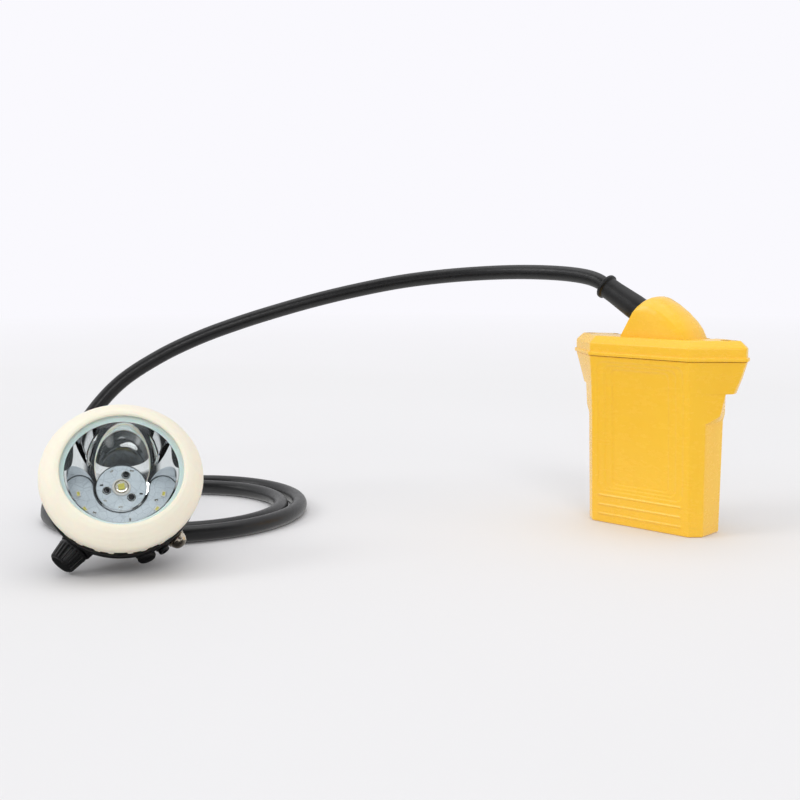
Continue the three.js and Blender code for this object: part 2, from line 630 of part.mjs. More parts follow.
function makeGland(head) {
  const group = glandGroup();
  const nut = solid(hexagon(14, 1.5, 6.6)).subtract(solid(rod(5.3, -1, 10, 16)));
  addPiece(group, 'gland_nut', blackPlastic(), nut);
  const bore = CABLE_RADIUS + 0.4;
  const end = GLAND_SLEEVE_START + GLAND_SLEEVE_LENGTH;
  const outline = [
    [3.4, -6], [5, -6], [5, GLAND_SLEEVE_START], [6.6, GLAND_SLEEVE_START], [5.5, end], [bore, end],
    [bore, end - 3], [3.4, end - 4],
  ];
  addPiece(group, 'head_cable_sleeve', blackRubber(), solid(turned(outline, 20)));
  head.add(group);
}

function headpiece() {
  const posture = new THREE.Group();
  posture.position.copy(HEAD_PLACE);
  posture.rotation.set(Math.PI / 2 - HEAD_TILT, 0, HEAD_TURN, 'ZXY');
  const head = new THREE.Group();
  head.rotation.z = HEAD_ROLL;
  makeHousing(head);
  makeBezel(head);
  makeLens(head);
  makeReflector(head);
  makeLights(head);
  makeSwitch(head);
  makeSideFittings(head);
  makeCapHook(head);
  makeGland(head);
  posture.add(head);
  return posture;
}

// ---- cable --------------------------------------------------------------------------------
// From the battery sleeve up over the arch and down to the floor.
const ARCH = [
  [-44.2, 1.6, 136.1], [-52, 0.9, 137.5], [-66, -0.9, 138.7], [-90, -4.5, 139.1], [-115, -11, 138.1],
  [-138.5, -21, 136], [-160.5, -33, 132.7], [-181, -48, 127.8], [-199.5, -64.5, 122], [-216, -82.5, 115.3],
  [-231, -102, 107.8], [-244.5, -123, 99], [-256, -144.5, 88], [-264.5, -167, 73.5], [-268.2, -184, 57],
  [-268.9, -195.6, 41.2], [-267.4, -204.6, 27.6], [-264.2, -213, 17], [-259, -219.6, 9.6],
  [-251.3, -225.5, 5.7],
];
// From the inner turn, across its middle and up to the headpiece.
const RISER = [
  [-255.9, -127.9, 4.7], [-261.1, -140.7, 6.2], [-261.6, -154.6, 10.6], [-257.3, -167.8, 17],
  [-248.7, -178.5, 24.3], [-232.5, -190, 34.3], [-219.5, -198.3, 40.3],
];
const REST = CABLE_RADIUS + 0.3;
const OUTER_TURN = { x: -217, y: -163, radius: 71.3 };
const INNER_TURN = { x: -212, y: -163.5, radius: 57.5 };
const TURN_START = 248 * Math.PI / 180;
const TURN_LENGTH = 600 * Math.PI / 180;
const POINTS_PER_TURN = 14;

function floorTurns() {
  const count = Math.round(POINTS_PER_TURN * TURN_LENGTH / (2 * Math.PI));
  const points = [];
  for (let i = 0; i <= count; i += 1) {
    const swept = TURN_LENGTH * i / count;
    const inward = THREE.MathUtils.smoothstep(swept, 1.25 * Math.PI, 2.2 * Math.PI);
    const x = THREE.MathUtils.lerp(OUTER_TURN.x, INNER_TURN.x, inward);
    const y = THREE.MathUtils.lerp(OUTER_TURN.y, INNER_TURN.y, inward);
    const radius = THREE.MathUtils.lerp(OUTER_TURN.radius, INNER_TURN.radius, inward);
    const angle = TURN_START + swept;
    points.push(new THREE.Vector3(x + radius * Math.cos(angle), y + radius * Math.sin(angle), REST));
  }
  return points;
}

function cableRoute(headGroup) {
  const toVector = (point) => new THREE.Vector3(...point);
  const outward = new THREE.Vector3(-Math.cos(SLEEVE_RISE), 0, Math.sin(SLEEVE_RISE));
  const start = SLEEVE_END.clone().addScaledVector(outward, GAP);
  const gland = headGroup.getObjectByName('head_cable_sleeve').matrixWorld;
  const glandEnd = GLAND_SLEEVE_START + GLAND_SLEEVE_LENGTH;
  const onGland = (reach) => new THREE.Vector3(0, 0, glandEnd + reach).applyMatrix4(gland);
  return [
    start, start.clone().addScaledVector(outward, 4), ...ARCH.map(toVector), ...floorTurns(),
    ...RISER.map(toVector), onGland(12), onGland(GAP),
  ];
}

function makeCable(lamp, headGroup) {
  const route = cableRoute(headGroup);
  addPiece(lamp, 'cable', blackRubber(), solid(tube(route, CABLE_RADIUS, CABLE_SIDES, CABLE_STEPS)));
}

// ---- the whole lamp -----------------------------------------------------------------------
const lamp = new THREE.Group();
makeCase(lamp);
makeLid(lamp);
makeLidFixings(lamp);
makeCells(lamp);
makeLeads(lamp);
makeBeltLoop(lamp);
makeCableSleeve(lamp);
const headGroup = headpiece();
lamp.add(headGroup);
lamp.updateMatrixWorld(true);
makeCable(lamp, headGroup);

export default lamp;
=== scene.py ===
# Looks of a miner's cap lamp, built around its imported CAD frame. Shapes are written in
# millimetres and become metres when a mesh is made.
import json
import math

import bmesh
import bpy
from mathutils import Matrix, Vector


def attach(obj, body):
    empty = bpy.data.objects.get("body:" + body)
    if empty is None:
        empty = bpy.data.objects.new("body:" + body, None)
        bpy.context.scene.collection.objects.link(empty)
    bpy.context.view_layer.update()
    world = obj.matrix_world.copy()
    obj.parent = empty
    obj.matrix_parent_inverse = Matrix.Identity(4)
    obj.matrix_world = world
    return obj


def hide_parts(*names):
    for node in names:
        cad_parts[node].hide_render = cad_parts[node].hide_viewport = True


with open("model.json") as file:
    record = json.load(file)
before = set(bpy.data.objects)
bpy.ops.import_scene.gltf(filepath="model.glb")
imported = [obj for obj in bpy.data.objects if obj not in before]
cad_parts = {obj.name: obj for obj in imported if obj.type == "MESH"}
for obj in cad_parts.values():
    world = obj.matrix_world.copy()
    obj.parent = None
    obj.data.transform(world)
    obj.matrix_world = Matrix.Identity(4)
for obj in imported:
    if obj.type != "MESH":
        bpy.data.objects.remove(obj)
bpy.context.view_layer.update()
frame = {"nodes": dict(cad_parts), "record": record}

MM = 0.001
GAP = 0.3
scene = bpy.context.scene

# ---- places on the lamp, in millimetres ------------------------------------------------------


def turn(degrees, axis):
    return Matrix.Rotation(math.radians(degrees), 4, axis)


def shift(x, y, z):
    return Matrix.Translation((x, y, z))


SLEEVE = shift(-34.6, 1.7, 132) @ turn(-60, "Y")
HEAD = shift(-136.3, -252.3, 43) @ turn(59.1, "Z") @ turn(53.2, "X") @ turn(-3.5, "Z")
GLAND = HEAD @ shift(0, 23.8, -32.2) @ turn(-143, "X")


def radial(angle, depth):
    """A place whose Z axis runs straight out from the lens axis, at an angle from its foot."""
    return HEAD @ shift(0, 0, depth) @ turn(angle, "Z") @ turn(90, "X")


KNOB = radial(-38, -18)
CHARGE = radial(48, -15.2)
LOCK = radial(33.5, -12.8)
PLUG = radial(20, -13.8)

# ---- camera ----------------------------------------------------------------------------------
camera = bpy.data.objects.new("camera", bpy.data.cameras.new("camera"))
scene.collection.objects.link(camera)
camera.location = (0.3299, -0.5574, 0.150)
camera.rotation_euler = (math.radians(82.8), 0, math.radians(43.09))
camera.data.lens = 52.2
camera.data.sensor_width = 36
camera.data.clip_start = 0.01
camera.data.clip_end = 100
scene.camera = camera

# ---- materials -------------------------------------------------------------------------------


class Look:
    """A Principled material and short ways to feed its sockets."""

    def __init__(self, name, **values):
        self.material = bpy.data.materials.new(name)
        self.material.use_nodes = True
        self.tree = self.material.node_tree
        self.shader = self.tree.nodes["Principled BSDF"]
        self.place = self.node("ShaderNodeTexCoord").outputs["Object"]
        for socket, value in values.items():
            self.shader.inputs[socket.replace("_", " ")].default_value = value

    def node(self, kind, **inputs):
        made = self.tree.nodes.new(kind)
        for socket, value in inputs.items():
            self.feed(made.inputs[socket.replace("_", " ")], value)
        return made

    def feed(self, socket, value):
        if isinstance(value, bpy.types.NodeSocket):
            self.tree.links.new(value, socket)
        else:
            socket.default_value = value

    def noise(self, scale, detail=2.0, roughness=0.5, vector=None):
        made = self.node("ShaderNodeTexNoise", Scale=scale, Detail=detail, Roughness=roughness)
        self.feed(made.inputs["Vector"], vector or self.place)
        return made.outputs["Fac"]

    def stretch(self, factors):
        made = self.node("ShaderNodeMapping")
        self.feed(made.inputs["Vector"], self.place)
        made.inputs["Scale"].default_value = factors
        return made.outputs["Vector"]

    def ramp(self, value, stops):
        made = self.node("ShaderNodeValToRGB", Fac=value)
        elements = made.color_ramp.elements
        while len(elements) < len(stops):
            elements.new(0.5)
        for element, (position, color) in zip(elements, stops):
            element.position = position
            element.color = (*color, 1) if len(color) == 3 else color
        return made.outputs["Color"]

    def span(self, value, low, high, start=0.3, end=0.7):
        made = self.node("ShaderNodeMapRange")
        self.feed(made.inputs["Value"], value)
        limits = (("From Min", start), ("From Max", end), ("To Min", low), ("To Max", high))
        for socket, number in limits:
            made.inputs[socket].default_value = number
        return made.outputs["Result"]

    def mix(self, share, first, second):
        made = self.tree.nodes.new("ShaderNodeMix")
        made.data_type = "RGBA"
        self.feed(made.inputs["Factor"], share)
        sockets = [s for s in made.inputs if s.name in "AB" and s.type == "RGBA"]
        self.feed(sockets[0], first)
        self.feed(sockets[1], second)
        return [s for s in made.outputs if s.type == "RGBA"][0]

    def bump(self, height, distance, strength=1.0, under=None):
        made = self.node("ShaderNodeBump", Height=height, Distance=distance, Strength=strength)
        if under:
            self.feed(made.inputs["Normal"], under)
        return made.outputs["Normal"]

    def outer_edges(self, sharpness=0.53):
        """Near 1 on the outside edges of a finely meshed piece."""
        point = self.node("ShaderNodeNewGeometry").outputs["Pointiness"]
        return self.ramp(point, [(sharpness, (0, 0, 0)), (sharpness + 0.06, (1, 1, 1))])

    def put(self, **sockets):
        for socket, value in sockets.items():
            self.feed(self.shader.inputs[socket.replace("_", " ")], value)
        return self.material


def shade(color, factor):
    return (*[min(1.0, channel * factor) for channel in color], 1)


def moulded(name, color, roughness, grain=2600, depth=0.00002, mottle=0.05, **values):
    """Injection-moulded plastic: fine spark grain, faint flow marks, uneven gloss."""
    look = Look(name, **values)
    flow = look.noise(38, 3, 0.6, look.stretch((1, 1, 0.35)))
    fine = look.noise(420, 2)
    stops = [(0.3, shade(color, 1 - mottle)), (0.7, shade(color, 1 + mottle * 0.7))]
    base = look.ramp(flow, stops)
    speck = look.ramp(fine, [(0.35, shade(color, 1 - mottle)), (0.75, shade(color, 1 + mottle * 0.5))])
    skin = look.noise(grain, 2, 0.6)
    scuff = look.noise(90, 5, 0.7, look.stretch((1, 1, 3)))
    return look.put(
        Base_Color=look.mix(0.35, base, speck),
        Roughness=look.span(scuff, roughness - 0.05, roughness + 0.08),
        Normal=look.bump(skin, depth, 0.6),
    )


def metal(name, color, roughness, streak=(1, 1, 1), scale=900, depth=0.00001, **values):
    """Bare metal with fine machining or rolling lines along one direction."""
    look = Look(name, Metallic=1.0, **values)
    lines = look.noise(scale, 3, 0.6, look.stretch(streak))
    cloud = look.noise(140, 3, 0.6)
    return look.put(
        Base_Color=look.ramp(cloud, [(0.3, shade(color, 0.88)), (0.7, shade(color, 1.05))]),
        Roughness=look.span(lines, roughness * 0.75, roughness * 1.35),
        Normal=look.bump(lines, depth, 0.5),
    )


YELLOW = (1.0, 0.57, 0.036)
CREAM = (0.90, 0.845, 0.70)
BLACK = (0.0125, 0.0125, 0.0135)
RUBBER = (0.0065, 0.0065, 0.007)


def yellow_pale_edges():
    """Glossy yellow casing, a little paler in patches along its outer edges."""
    look = Look("yellow_casing", IOR=1.5, Subsurface_Weight=0.06, Subsurface_Scale=0.004)
    look.shader.inputs["Subsurface Radius"].default_value = (1.0, 0.45, 0.12)
    flow = look.noise(30, 3, 0.6, look.stretch((1, 1, 0.3)))
    base = look.ramp(flow, [(0.3, shade(YELLOW, 0.97)), (0.7, shade(YELLOW, 1.03))])
    edge_patches = look.noise(260, 4, 0.7)
    # Outer edges are mixed towards a paler yellow, broken into patches by noise.
    edge = look.node("ShaderNodeMath", Value=look.outer_edges())
    edge.operation = "MULTIPLY"
    look.feed(edge.inputs[1], look.span(edge_patches, 0.0, 0.3, 0.4, 0.7))
    skin = look.noise(1900, 2, 0.6)
    waves = look.noise(60, 2, 0.5)
    scuff = look.noise(110, 6, 0.75, look.stretch((1, 1, 2.5)))
    return look.put(
        Base_Color=look.mix(edge.outputs[0], base, (1.0, 0.66, 0.16, 1)),
        Roughness=look.span(scuff, 0.20, 0.32),
        Normal=look.bump(skin, 0.000004, 0.4, look.bump(waves, 0.00004, 0.4)),
    )


def cable_rubber():
    """Extruded cable sheath: dark, with fine drag marks in its roughness and bumps, and a faint
    dusting.
    """
    look = Look("cable_rubber", IOR=1.5)
    dust = look.noise(75, 5, 0.7)
    drag = look.noise(700, 3, 0.6)
    fine = look.noise(3200, 2, 0.6)
    base = look.ramp(dust, [(0.35, RUBBER), (0.75, (0.012, 0.012, 0.013))])
    return look.put(
        Base_Color=base,
        Roughness=look.span(drag, 0.30, 0.44),
        Normal=look.bump(fine, 0.00002, 0.5, look.bump(drag, 0.00004, 0.4)),
    )


def mirror_metal():
    """Vacuum-coated reflector: a mirror with a trace of ripple and a few pinholes of dust."""
    look = Look("mirror_metal", Metallic=1.0)
    ripple = look.noise(70, 2, 0.5)
    dust = look.noise(900, 6, 0.8)
    return look.put(
        Base_Color=look.ramp(dust, [(0.60, (0.93, 0.935, 0.94)), (0.78, (0.80, 0.81, 0.82))]),
        Roughness=look.span(dust, 0.015, 0.10, 0.55, 0.85),
        Normal=look.bump(ripple, 0.00003, 0.5),
    )


def board(name, color, trace, roughness=0.42):
    """Coated circuit board: solder mask over faintly raised copper areas."""
    look = Look(name, IOR=1.5, Coat_Weight=0.25, Coat_Roughness=0.2)
    cells = look.node("ShaderNodeTexVoronoi", Scale=260.0)
    look.feed(cells.inputs["Vector"], look.place)
    cells.distance = "CHEBYCHEV"
    cells.feature = "DISTANCE_TO_EDGE"
    edge = look.ramp(cells.outputs["Distance"], [(0.02, (0, 0, 0)), (0.05, (1, 1, 1))])
    cloud = look.noise(320, 3, 0.6)
    base = look.ramp(cloud, [(0.3, shade(color, 0.95)), (0.7, shade(color, 1.04))])
    return look.put(
        Base_Color=look.mix(edge, (*trace, 1), base),
        Roughness=look.span(cloud, roughness - 0.06, roughness + 0.08),
        Normal=look.bump(edge, 0.00002, 0.4),
    )


def phosphor():
    """Phosphor layer of a white LED, unlit: matt yellow with fine grains."""
    look = Look("phosphor", Coat_Weight=0.6, Coat_Roughness=0.05)
    grain = look.noise(5200, 3, 0.7)
    return look.put(
        Base_Color=look.ramp(grain, [(0.3, (0.62, 0.55, 0.07)), (0.7, (0.86, 0.79, 0.19))]),
        Roughness=look.span(grain, 0.4, 0.6),
        Normal=look.bump(grain, 0.00002, 0.6),
    )


def clear(name, tint, roughness=0.02, thickness_tint=0.0):
    """Clear glass or resin that lets lamps light what lies behind it."""
    look = Look(name, Transmission_Weight=1.0, IOR=1.47)
    smear = look.noise(160, 5, 0.7)
    look.put(
        Base_Color=look.ramp(smear, [(0.3, shade(tint, 1 - thickness_tint)), (0.7, (*tint, 1))]),
        Roughness=look.span(smear, roughness * 0.4, roughness * 1.4),
    )
    passing = look.node("ShaderNodeBsdfTransparent", Color=(*tint, 1))
    path = look.node("ShaderNodeLightPath")
    either = look.node("ShaderNodeMath", Value=path.outputs["Is Shadow Ray"])
    either.operation = "MAXIMUM"
    look.feed(either.inputs[1], path.outputs["Is Diffuse Ray"])
    choice = look.node("ShaderNodeMixShader", Fac=either.outputs[0])
    look.feed(choice.inputs[1], look.shader.outputs[0])
    look.feed(choice.inputs[2], passing.outputs[0])
    output = next(n for n in look.tree.nodes if n.type == "OUTPUT_MATERIAL")
    look.feed(output.inputs["Surface"], choice.outputs[0])
    return look.material


LOOKS = {
    "yellow": yellow_pale_edges(),
    "cream": moulded(
        "cream_bezel", CREAM, 0.42, depth=0.000008, mottle=0.03,
        Subsurface_Weight=0.25, Subsurface_Scale=0.003, IOR=1.48,
    ),
    "black": moulded("black_plastic", BLACK, 0.38, grain=1700, depth=0.00003, mottle=0.25, IOR=1.5),
    "rubber": moulded("black_rubber", RUBBER, 0.45, grain=2200, depth=0.00003, mottle=0.3, IOR=1.5),
    "cable": cable_rubber(),
    "mirror": mirror_metal(),
    "nickel": metal("nickel", (0.62, 0.55, 0.45), 0.20, scale=1400),
    "steel": metal("steel", (0.50, 0.505, 0.51), 0.32, (1, 1, 14), 700),
    "dark_steel": metal("dark_steel", (0.07, 0.07, 0.073), 0.34, scale=1500),
    "aluminium": metal("aluminium", (0.56, 0.57, 0.58), 0.36, scale=1200),
    "board_white": board("board_white", (0.66, 0.72, 0.79), (0.54, 0.60, 0.67)),
    "board_green": board("board_green", (0.012, 0.13, 0.045), (0.03, 0.2, 0.07)),
    "phosphor": phosphor(),
    "ceramic": moulded("ceramic", (0.80, 0.77, 0.74), 0.35, grain=4000, depth=0.00001, mottle=0.04),
    "solder": metal("solder", (0.62, 0.62, 0.60), 0.25, scale=2500),
    "ink": moulded("ink", (0.03, 0.033, 0.038), 0.5, grain=4000, mottle=0.2),
    "lens": clear("lens_glass", (0.975, 0.995, 0.99), 0.01, 0.005),
    "silicone": moulded(
        "pale_silicone", (0.84, 0.88, 0.86), 0.35, grain=2500, mottle=0.05,
        Subsurface_Weight=0.3, Subsurface_Scale=0.002,
    ),
    "dome": clear("dome_resin", (0.97, 0.965, 0.93)),
    "cell": moulded("cell_wrap", (0.028, 0.12, 0.40), 0.3, grain=900, mottle=0.1, Coat_Weight=0.3),
    "wire": moulded("red_wire", (0.45, 0.018, 0.012), 0.4, mottle=0.1),
}
SLOT_LOOKS = {
    "yellow_plastic": "yellow", "cream_plastic": "cream", "black_plastic": "black",
    "black_rubber": "rubber", "pale_silicone": "silicone", "clear_glass": "lens",
    "mirror_chrome": "mirror", "nickel": "nickel",
    "steel": "steel", "aluminium": "aluminium", "board_white": "board_white",
    "board_green": "board_green", "led_yellow": "phosphor", "cell_wrap": "cell", "wire_red": "wire",
}
NODE_SLOT = {entry["node"]: entry["material_slot"] for entry in frame["record"]["subparts"]}

# ---- making meshes ---------------------------------------------------------------------------


def show(name, mesh, look, sharp=32):
    mesh.materials.clear()
    mesh.materials.append(LOOKS[look])
    for polygon in mesh.polygons:
        polygon.use_smooth = True
    mesh.set_sharp_from_angle(angle=math.radians(sharp))
    piece = bpy.data.objects.new(name, mesh)
    scene.collection.objects.link(piece)
    return piece


def to_mesh(name, points, faces, place=None):
    """A mesh in metres from points in millimetres, with its faces turned outwards."""
    place = place or Matrix()
    mesh = bpy.data.meshes.new(name)
    mesh.from_pydata([place @ Vector(point) * MM for point in points], [], faces)
    work = bmesh.new()
    work.from_mesh(mesh)
    bmesh.ops.remove_doubles(work, verts=work.verts, dist=1e-7)
    bmesh.ops.recalc_face_normals(work, faces=work.faces)
    work.to_mesh(mesh)
    work.free()
    return mesh


def skin(rings, closed=True, caps=True):
    """Points and faces of a surface through rings of equal length."""
    count = len(rings[0])
    points = [point for ring in rings for point in ring]
    faces = []
    for row in range(len(rings) - 1):
        for i in range(count if closed else count - 1):
            j = (i + 1) % count
            low, high = row * count, (row + 1) * count
            faces.append((low + i, low + j, high + j, high + i))
    if caps:
        faces.append(tuple(range(count))[::-1])
        faces.append(tuple(range((len(rings) - 1) * count, len(rings) * count)))
    return points, faces


def fillet(points, radius, closed=False, steps=4):
    """The same outline with its corners rounded. radius is one number, or one per point."""
    count = len(points)
    radii = radius if isinstance(radius, (list, tuple)) else [radius] * count
    out = []
    for i, point in enumerate(points):
        here = Vector(point)
        if not closed and i in (0, count - 1):
            out.append(here)
            continue
        before = Vector(points[i - 1]) - here
        after = Vector(points[(i + 1) % count]) - here
        angle = before.angle(after, math.pi)
        if angle > math.pi - 0.03 or radii[i] <= 0:
            out.append(here)
            continue
        reach = min(radii[i] / math.tan(angle / 2), 0.48 * before.length, 0.48 * after.length)
        first = here + before.normalized() * reach
        last = here + after.normalized() * reach
        for k in range(steps + 1):
            t = k / steps
            out.append(first * (1 - t) ** 2 + here * (2 * t * (1 - t)) + last * t ** 2)
    return out


def dense(points, step, closed=False):
    """The same outline with long sides divided."""
    out = []
    count = len(points)
    for i in range(count if closed else count - 1):
        a, b = Vector(points[i]), Vector(points[(i + 1) % count])
        parts = max(1, math.ceil((b - a).length / step))
        out += [a.lerp(b, k / parts) for k in range(parts)]
    if not closed:
        out.append(Vector(points[-1]))
    return out


def turned(outline, segments=64, place=None, warp=None, name="turned"):
    """A lathe mesh. outline holds (radius, z); it is closed, or starts and ends on the axis.
    warp(angle, radius, z) may move a point."""
    on_axis = outline[0][0] < 1e-6 and outline[-1][0] < 1e-6
    outline = list(outline) if on_axis else [*outline, outline[0]]
    rings = []
    for radius, z in outline:
        ring = []
        for i in range(segments):
            angle = 2 * math.pi * i / segments
            r, h = warp(angle, radius, z) if warp else (radius, z)
            ring.append((r * math.cos(angle), r * math.sin(angle), h))
        rings.append(ring)
    points, faces = skin(rings, caps=False)
    return to_mesh(name, points, faces, place)


def evaluated(piece):
    """Applies a piece's modifiers."""
    graph = bpy.context.evaluated_depsgraph_get()
    mesh = bpy.data.meshes.new_from_object(piece.evaluated_get(graph), depsgraph=graph)
    piece.modifiers.clear()
    piece.data = mesh


def combine(mesh, others, operation):
    """Joins other meshes to a mesh, or cuts them out of it."""
    piece = bpy.data.objects.new("work", mesh)
    scene.collection.objects.link(piece)
    for other in others:
        tool = bpy.data.objects.new("tool", other)
        scene.collection.objects.link(tool)
        modifier = piece.modifiers.new("join", "BOOLEAN")
        modifier.solver = "MANIFOLD"
        modifier.operation = operation
        modifier.object = tool
        evaluated(piece)
        bpy.data.objects.remove(tool)
    mesh = piece.data
    bpy.data.objects.remove(piece)
    return mesh


def bevelled(mesh, width, segments=3, angle=30):
    """Rounds the edges of a mesh."""
    work = bmesh.new()
    work.from_mesh(mesh)
    bmesh.ops.remove_doubles(work, verts=work.verts, dist=2e-6)
    bmesh.ops.dissolve_limit(work, angle_limit=math.radians(1), verts=work.verts, edges=work.edges)
    bmesh.ops.recalc_face_normals(work, faces=work.faces)
    work.to_mesh(mesh)
    work.free()
    piece = bpy.data.objects.new("work", mesh)
    scene.collection.objects.link(piece)
    modifier = piece.modifiers.new("edges", "BEVEL")
    modifier.width = width * MM
    modifier.segments = segments
    modifier.limit_method = "ANGLE"
    modifier.angle_limit = math.radians(angle)
    evaluated(piece)
    mesh = piece.data
    bpy.data.objects.remove(piece)
    return mesh


def stand_for(piece, body, *nodes):
    """The piece rides a body and takes the place of CAD nodes."""
    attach(piece, body)
    if nodes:
        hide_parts(*nodes)
    return piece


def eased(node, body, look, width=0.35, segments=3):
    """A copy of a CAD node with rounded edges, standing for it."""
    mesh = bevelled(frame["nodes"][node].data.copy(), width, segments)
    return stand_for(show(f"{node}_fine", mesh, look), body, node)


def block(x0, x1, y0, y1, z0, z1, place=None):
    corners = [(x, y, z) for x in (x0, x1) for y in (y0, y1) for z in (z0, z1)]
    faces = [(0, 1, 3, 2), (4, 6, 7, 5), (0, 4, 5, 1), (2, 3, 7, 6), (0, 2, 6, 4), (1, 5, 7, 3)]
    return to_mesh("block", corners, faces, place)


def prism(outline, z0, z1, place=None):
    rings = [[(x, y, z) for x, y in outline] for z in (z0, z1)]
    points, faces = skin(rings)
    return to_mesh("prism", points, faces, place)


def smooth(low, high, value):
    t = min(1.0, max(0.0, (value - low) / (high - low)))
    return t * t * (3 - 2 * t)


# ---- cable -----------------------------------------------------------------------------------
CABLE_RADIUS = 4.3
ARCH = [
    (-44.2, 1.6, 136.1), (-52, 0.9, 137.5), (-66, -0.9, 138.7), (-90, -4.5, 139.1),
    (-115, -11, 138.1), (-138.5, -21, 136), (-160.5, -33, 132.7), (-181, -48, 127.8),
    (-199.5, -64.5, 122), (-216, -82.5, 115.3), (-231, -102, 107.8), (-244.5, -123, 99),
    (-256, -144.5, 88), (-264.5, -167, 73.5), (-268.2, -184, 57), (-268.9, -195.6, 41.2),
    (-267.4, -204.6, 27.6), (-264.2, -213, 17), (-259, -219.6, 9.6), (-251.3, -225.5, 5.7),
]
RISER = [
    (-255.9, -127.9, 4.7), (-261.1, -140.7, 6.2), (-261.6, -154.6, 10.6), (-257.3, -167.8, 17),
    (-248.7, -178.5, 24.3), (-232.5, -190, 34.3), (-219.5, -198.3, 40.3),
]
OUTER_TURN = (-217, -163, 71.3)
INNER_TURN = (-212, -163.5, 57.5)
TURN_START = math.radians(248)
TURN_LENGTH = math.radians(600)
POINTS_PER_TURN = 14
REST = CABLE_RADIUS + GAP
GLAND_SLEEVE_END = 28.9


def floor_turns():
    count = round(POINTS_PER_TURN * TURN_LENGTH / (2 * math.pi))
    points = []
    for i in range(count + 1):
        swept = TURN_LENGTH * i / count
        inward = smooth(1.25 * math.pi, 2.2 * math.pi, swept)
        x, y, radius = (a + (b - a) * inward for a, b in zip(OUTER_TURN, INNER_TURN))
        angle = TURN_START + swept
        points.append((x + radius * math.cos(angle), y + radius * math.sin(angle), REST))
    return points


def cable_route():
    start = SLEEVE @ Vector((0, 0, GAP))
    return [
        start, SLEEVE @ Vector((0, 0, GAP + 4)), *ARCH, *floor_turns(), *RISER,
        GLAND @ Vector((0, 0, GLAND_SLEEVE_END + 12)),
        GLAND @ Vector((0, 0, GLAND_SLEEVE_END + GAP)),
    ]


def flowing(route, per_span=12):
    """Centripetal Catmull-Rom curve through a route."""
    route = [Vector(point) for point in route]
    ends = [2 * route[0] - route[1], *route, 2 * route[-1] - route[-2]]
    out = []
    for before, a, b, after in zip(ends, ends[1:], ends[2:], ends[3:]):
        d0, d1, d2 = (math.sqrt((q - p).length) for p, q in ((before, a), (a, b), (b, after)))
        leave = ((a - before) / d0 - (b - before) / (d0 + d1) + (b - a) / d1) * d1
        arrive = ((b - a) / d1 - (after - a) / (d1 + d2) + (after - b) / d2) * d1
        for k in range(per_span):
            t = k / per_span
            out.append(
                a * (2 * t**3 - 3 * t**2 + 1) + leave * (t**3 - 2 * t**2 + t)
                + b * (3 * t**2 - 2 * t**3) + arrive * (t**3 - t**2)
            )
    out.append(route[-1])
    return out


def make_cable():
    points = flowing(cable_route())
    curve = bpy.data.curves.new("cable_sheath", "CURVE")
    curve.dimensions = "3D"
    spline = curve.splines.new("POLY")
    spline.points.add(len(points) - 1)
    for slot, point in zip(spline.points, points):
        slot.co = (*(point * MM), 1)
    spline.use_smooth = True
    curve.bevel_depth = CABLE_RADIUS * MM
    curve.bevel_resolution = 7
    curve.use_fill_caps = True
    curve.materials.append(LOOKS["cable"])
    piece = bpy.data.objects.new("cable_sheath", curve)
    scene.collection.objects.link(piece)
    stand_for(piece, "lamp", "cable")


make_cable()

# ---- battery ---------------------------------------------------------------------------------
FRONT_HALF = 30.2
BACK_Y = 13
CASE_SECTIONS = [
    (0, -13, (35.7, -7.5), (35.7, 10), 32.7),
    (61, -15.5, (36.2, -9.5), (36.2, 10), 33.2),
    (65, -15.8, (41.5, -4), (38.3, 7.6), 33.3),
    (76.9, -16.6, (43.6, -2.3), (38.4, 7.5), 33.4),
    (77.1, -16.6, (46.6, 0.3), (45.4, 6), 35),
    (85, -17.5, (49.7, 1), (48.5, 6), 35.5),
    (94, -18.9, (52.7, 0.7), (51.5, 5.5), 36),
]
CORNER_RADII = [1.3, 1.6, 2.2, 2.6, 2.6, 2.2, 1.6, 1.3]
SIDE_PARTS = [8, 18, 6, 44, 6, 18, 8, 124]
CORNER_STEPS = 5
LID_SCREWS = [(41.5, 0), (-41.5, 0), (28.5, 6.9), (-28.5, 6.9)]


def case_plan(front, tip, flank, back):
    right = [(FRONT_HALF, front), tip, flank, (back, BACK_Y)]
    return right + [(-x, y) for x, y in reversed(right)]


def plan_at(z):
    for low, high in zip(CASE_SECTIONS, CASE_SECTIONS[1:]):
        if z <= high[0]:
            t = (z - low[0]) / (high[0] - low[0])
            a, b = case_plan(*low[1:]), case_plan(*high[1:])
            return [tuple(Vector(p).lerp(Vector(q), t)) for p, q in zip(a, b)]
    return case_plan(*CASE_SECTIONS[-1][1:])


def offset(plan, distance):
    """The plan with every side moved outwards."""
    count = len(plan)
    sides = []
    for i, (x, y) in enumerate(plan):
        nx, ny = plan[(i + 1) % count]
        length = math.hypot(nx - x, ny - y)
        normal = ((ny - y) / length, (x - nx) / length)
        sides.append((normal, normal[0] * x + normal[1] * y + distance))
    out = []
    for i in range(count):
        (ax, ay), reach_a = sides[i - 1]
        (bx, by), reach_b = sides[i]
        det = ax * by - ay * bx
        out.append(((reach_a * by - reach_b * ay) / det, (ax * reach_b - bx * reach_a) / det))
    return out


def plan_ring(plan, grow=0.0):
    """Points round a plan with rounded corners; the same count for every plan.
    Also says which of them lie on the front side."""
    radii = [max(0.25, radius + grow) for radius in CORNER_RADII]
    rounded = fillet(plan, radii, closed=True, steps=CORNER_STEPS)
    per_corner = CORNER_STEPS + 1
    ring, front = [], []
    for i, parts in enumerate(SIDE_PARTS):
        corner = rounded[i * per_corner:(i + 1) * per_corner]
        ring += corner
        front += [False] * per_corner
        following = rounded[((i + 1) * per_corner) % len(rounded)]
        for k in range(1, parts):
            ring.append(corner[-1].lerp(following, k / parts))
            front.append(i == 7)
    return ring, front


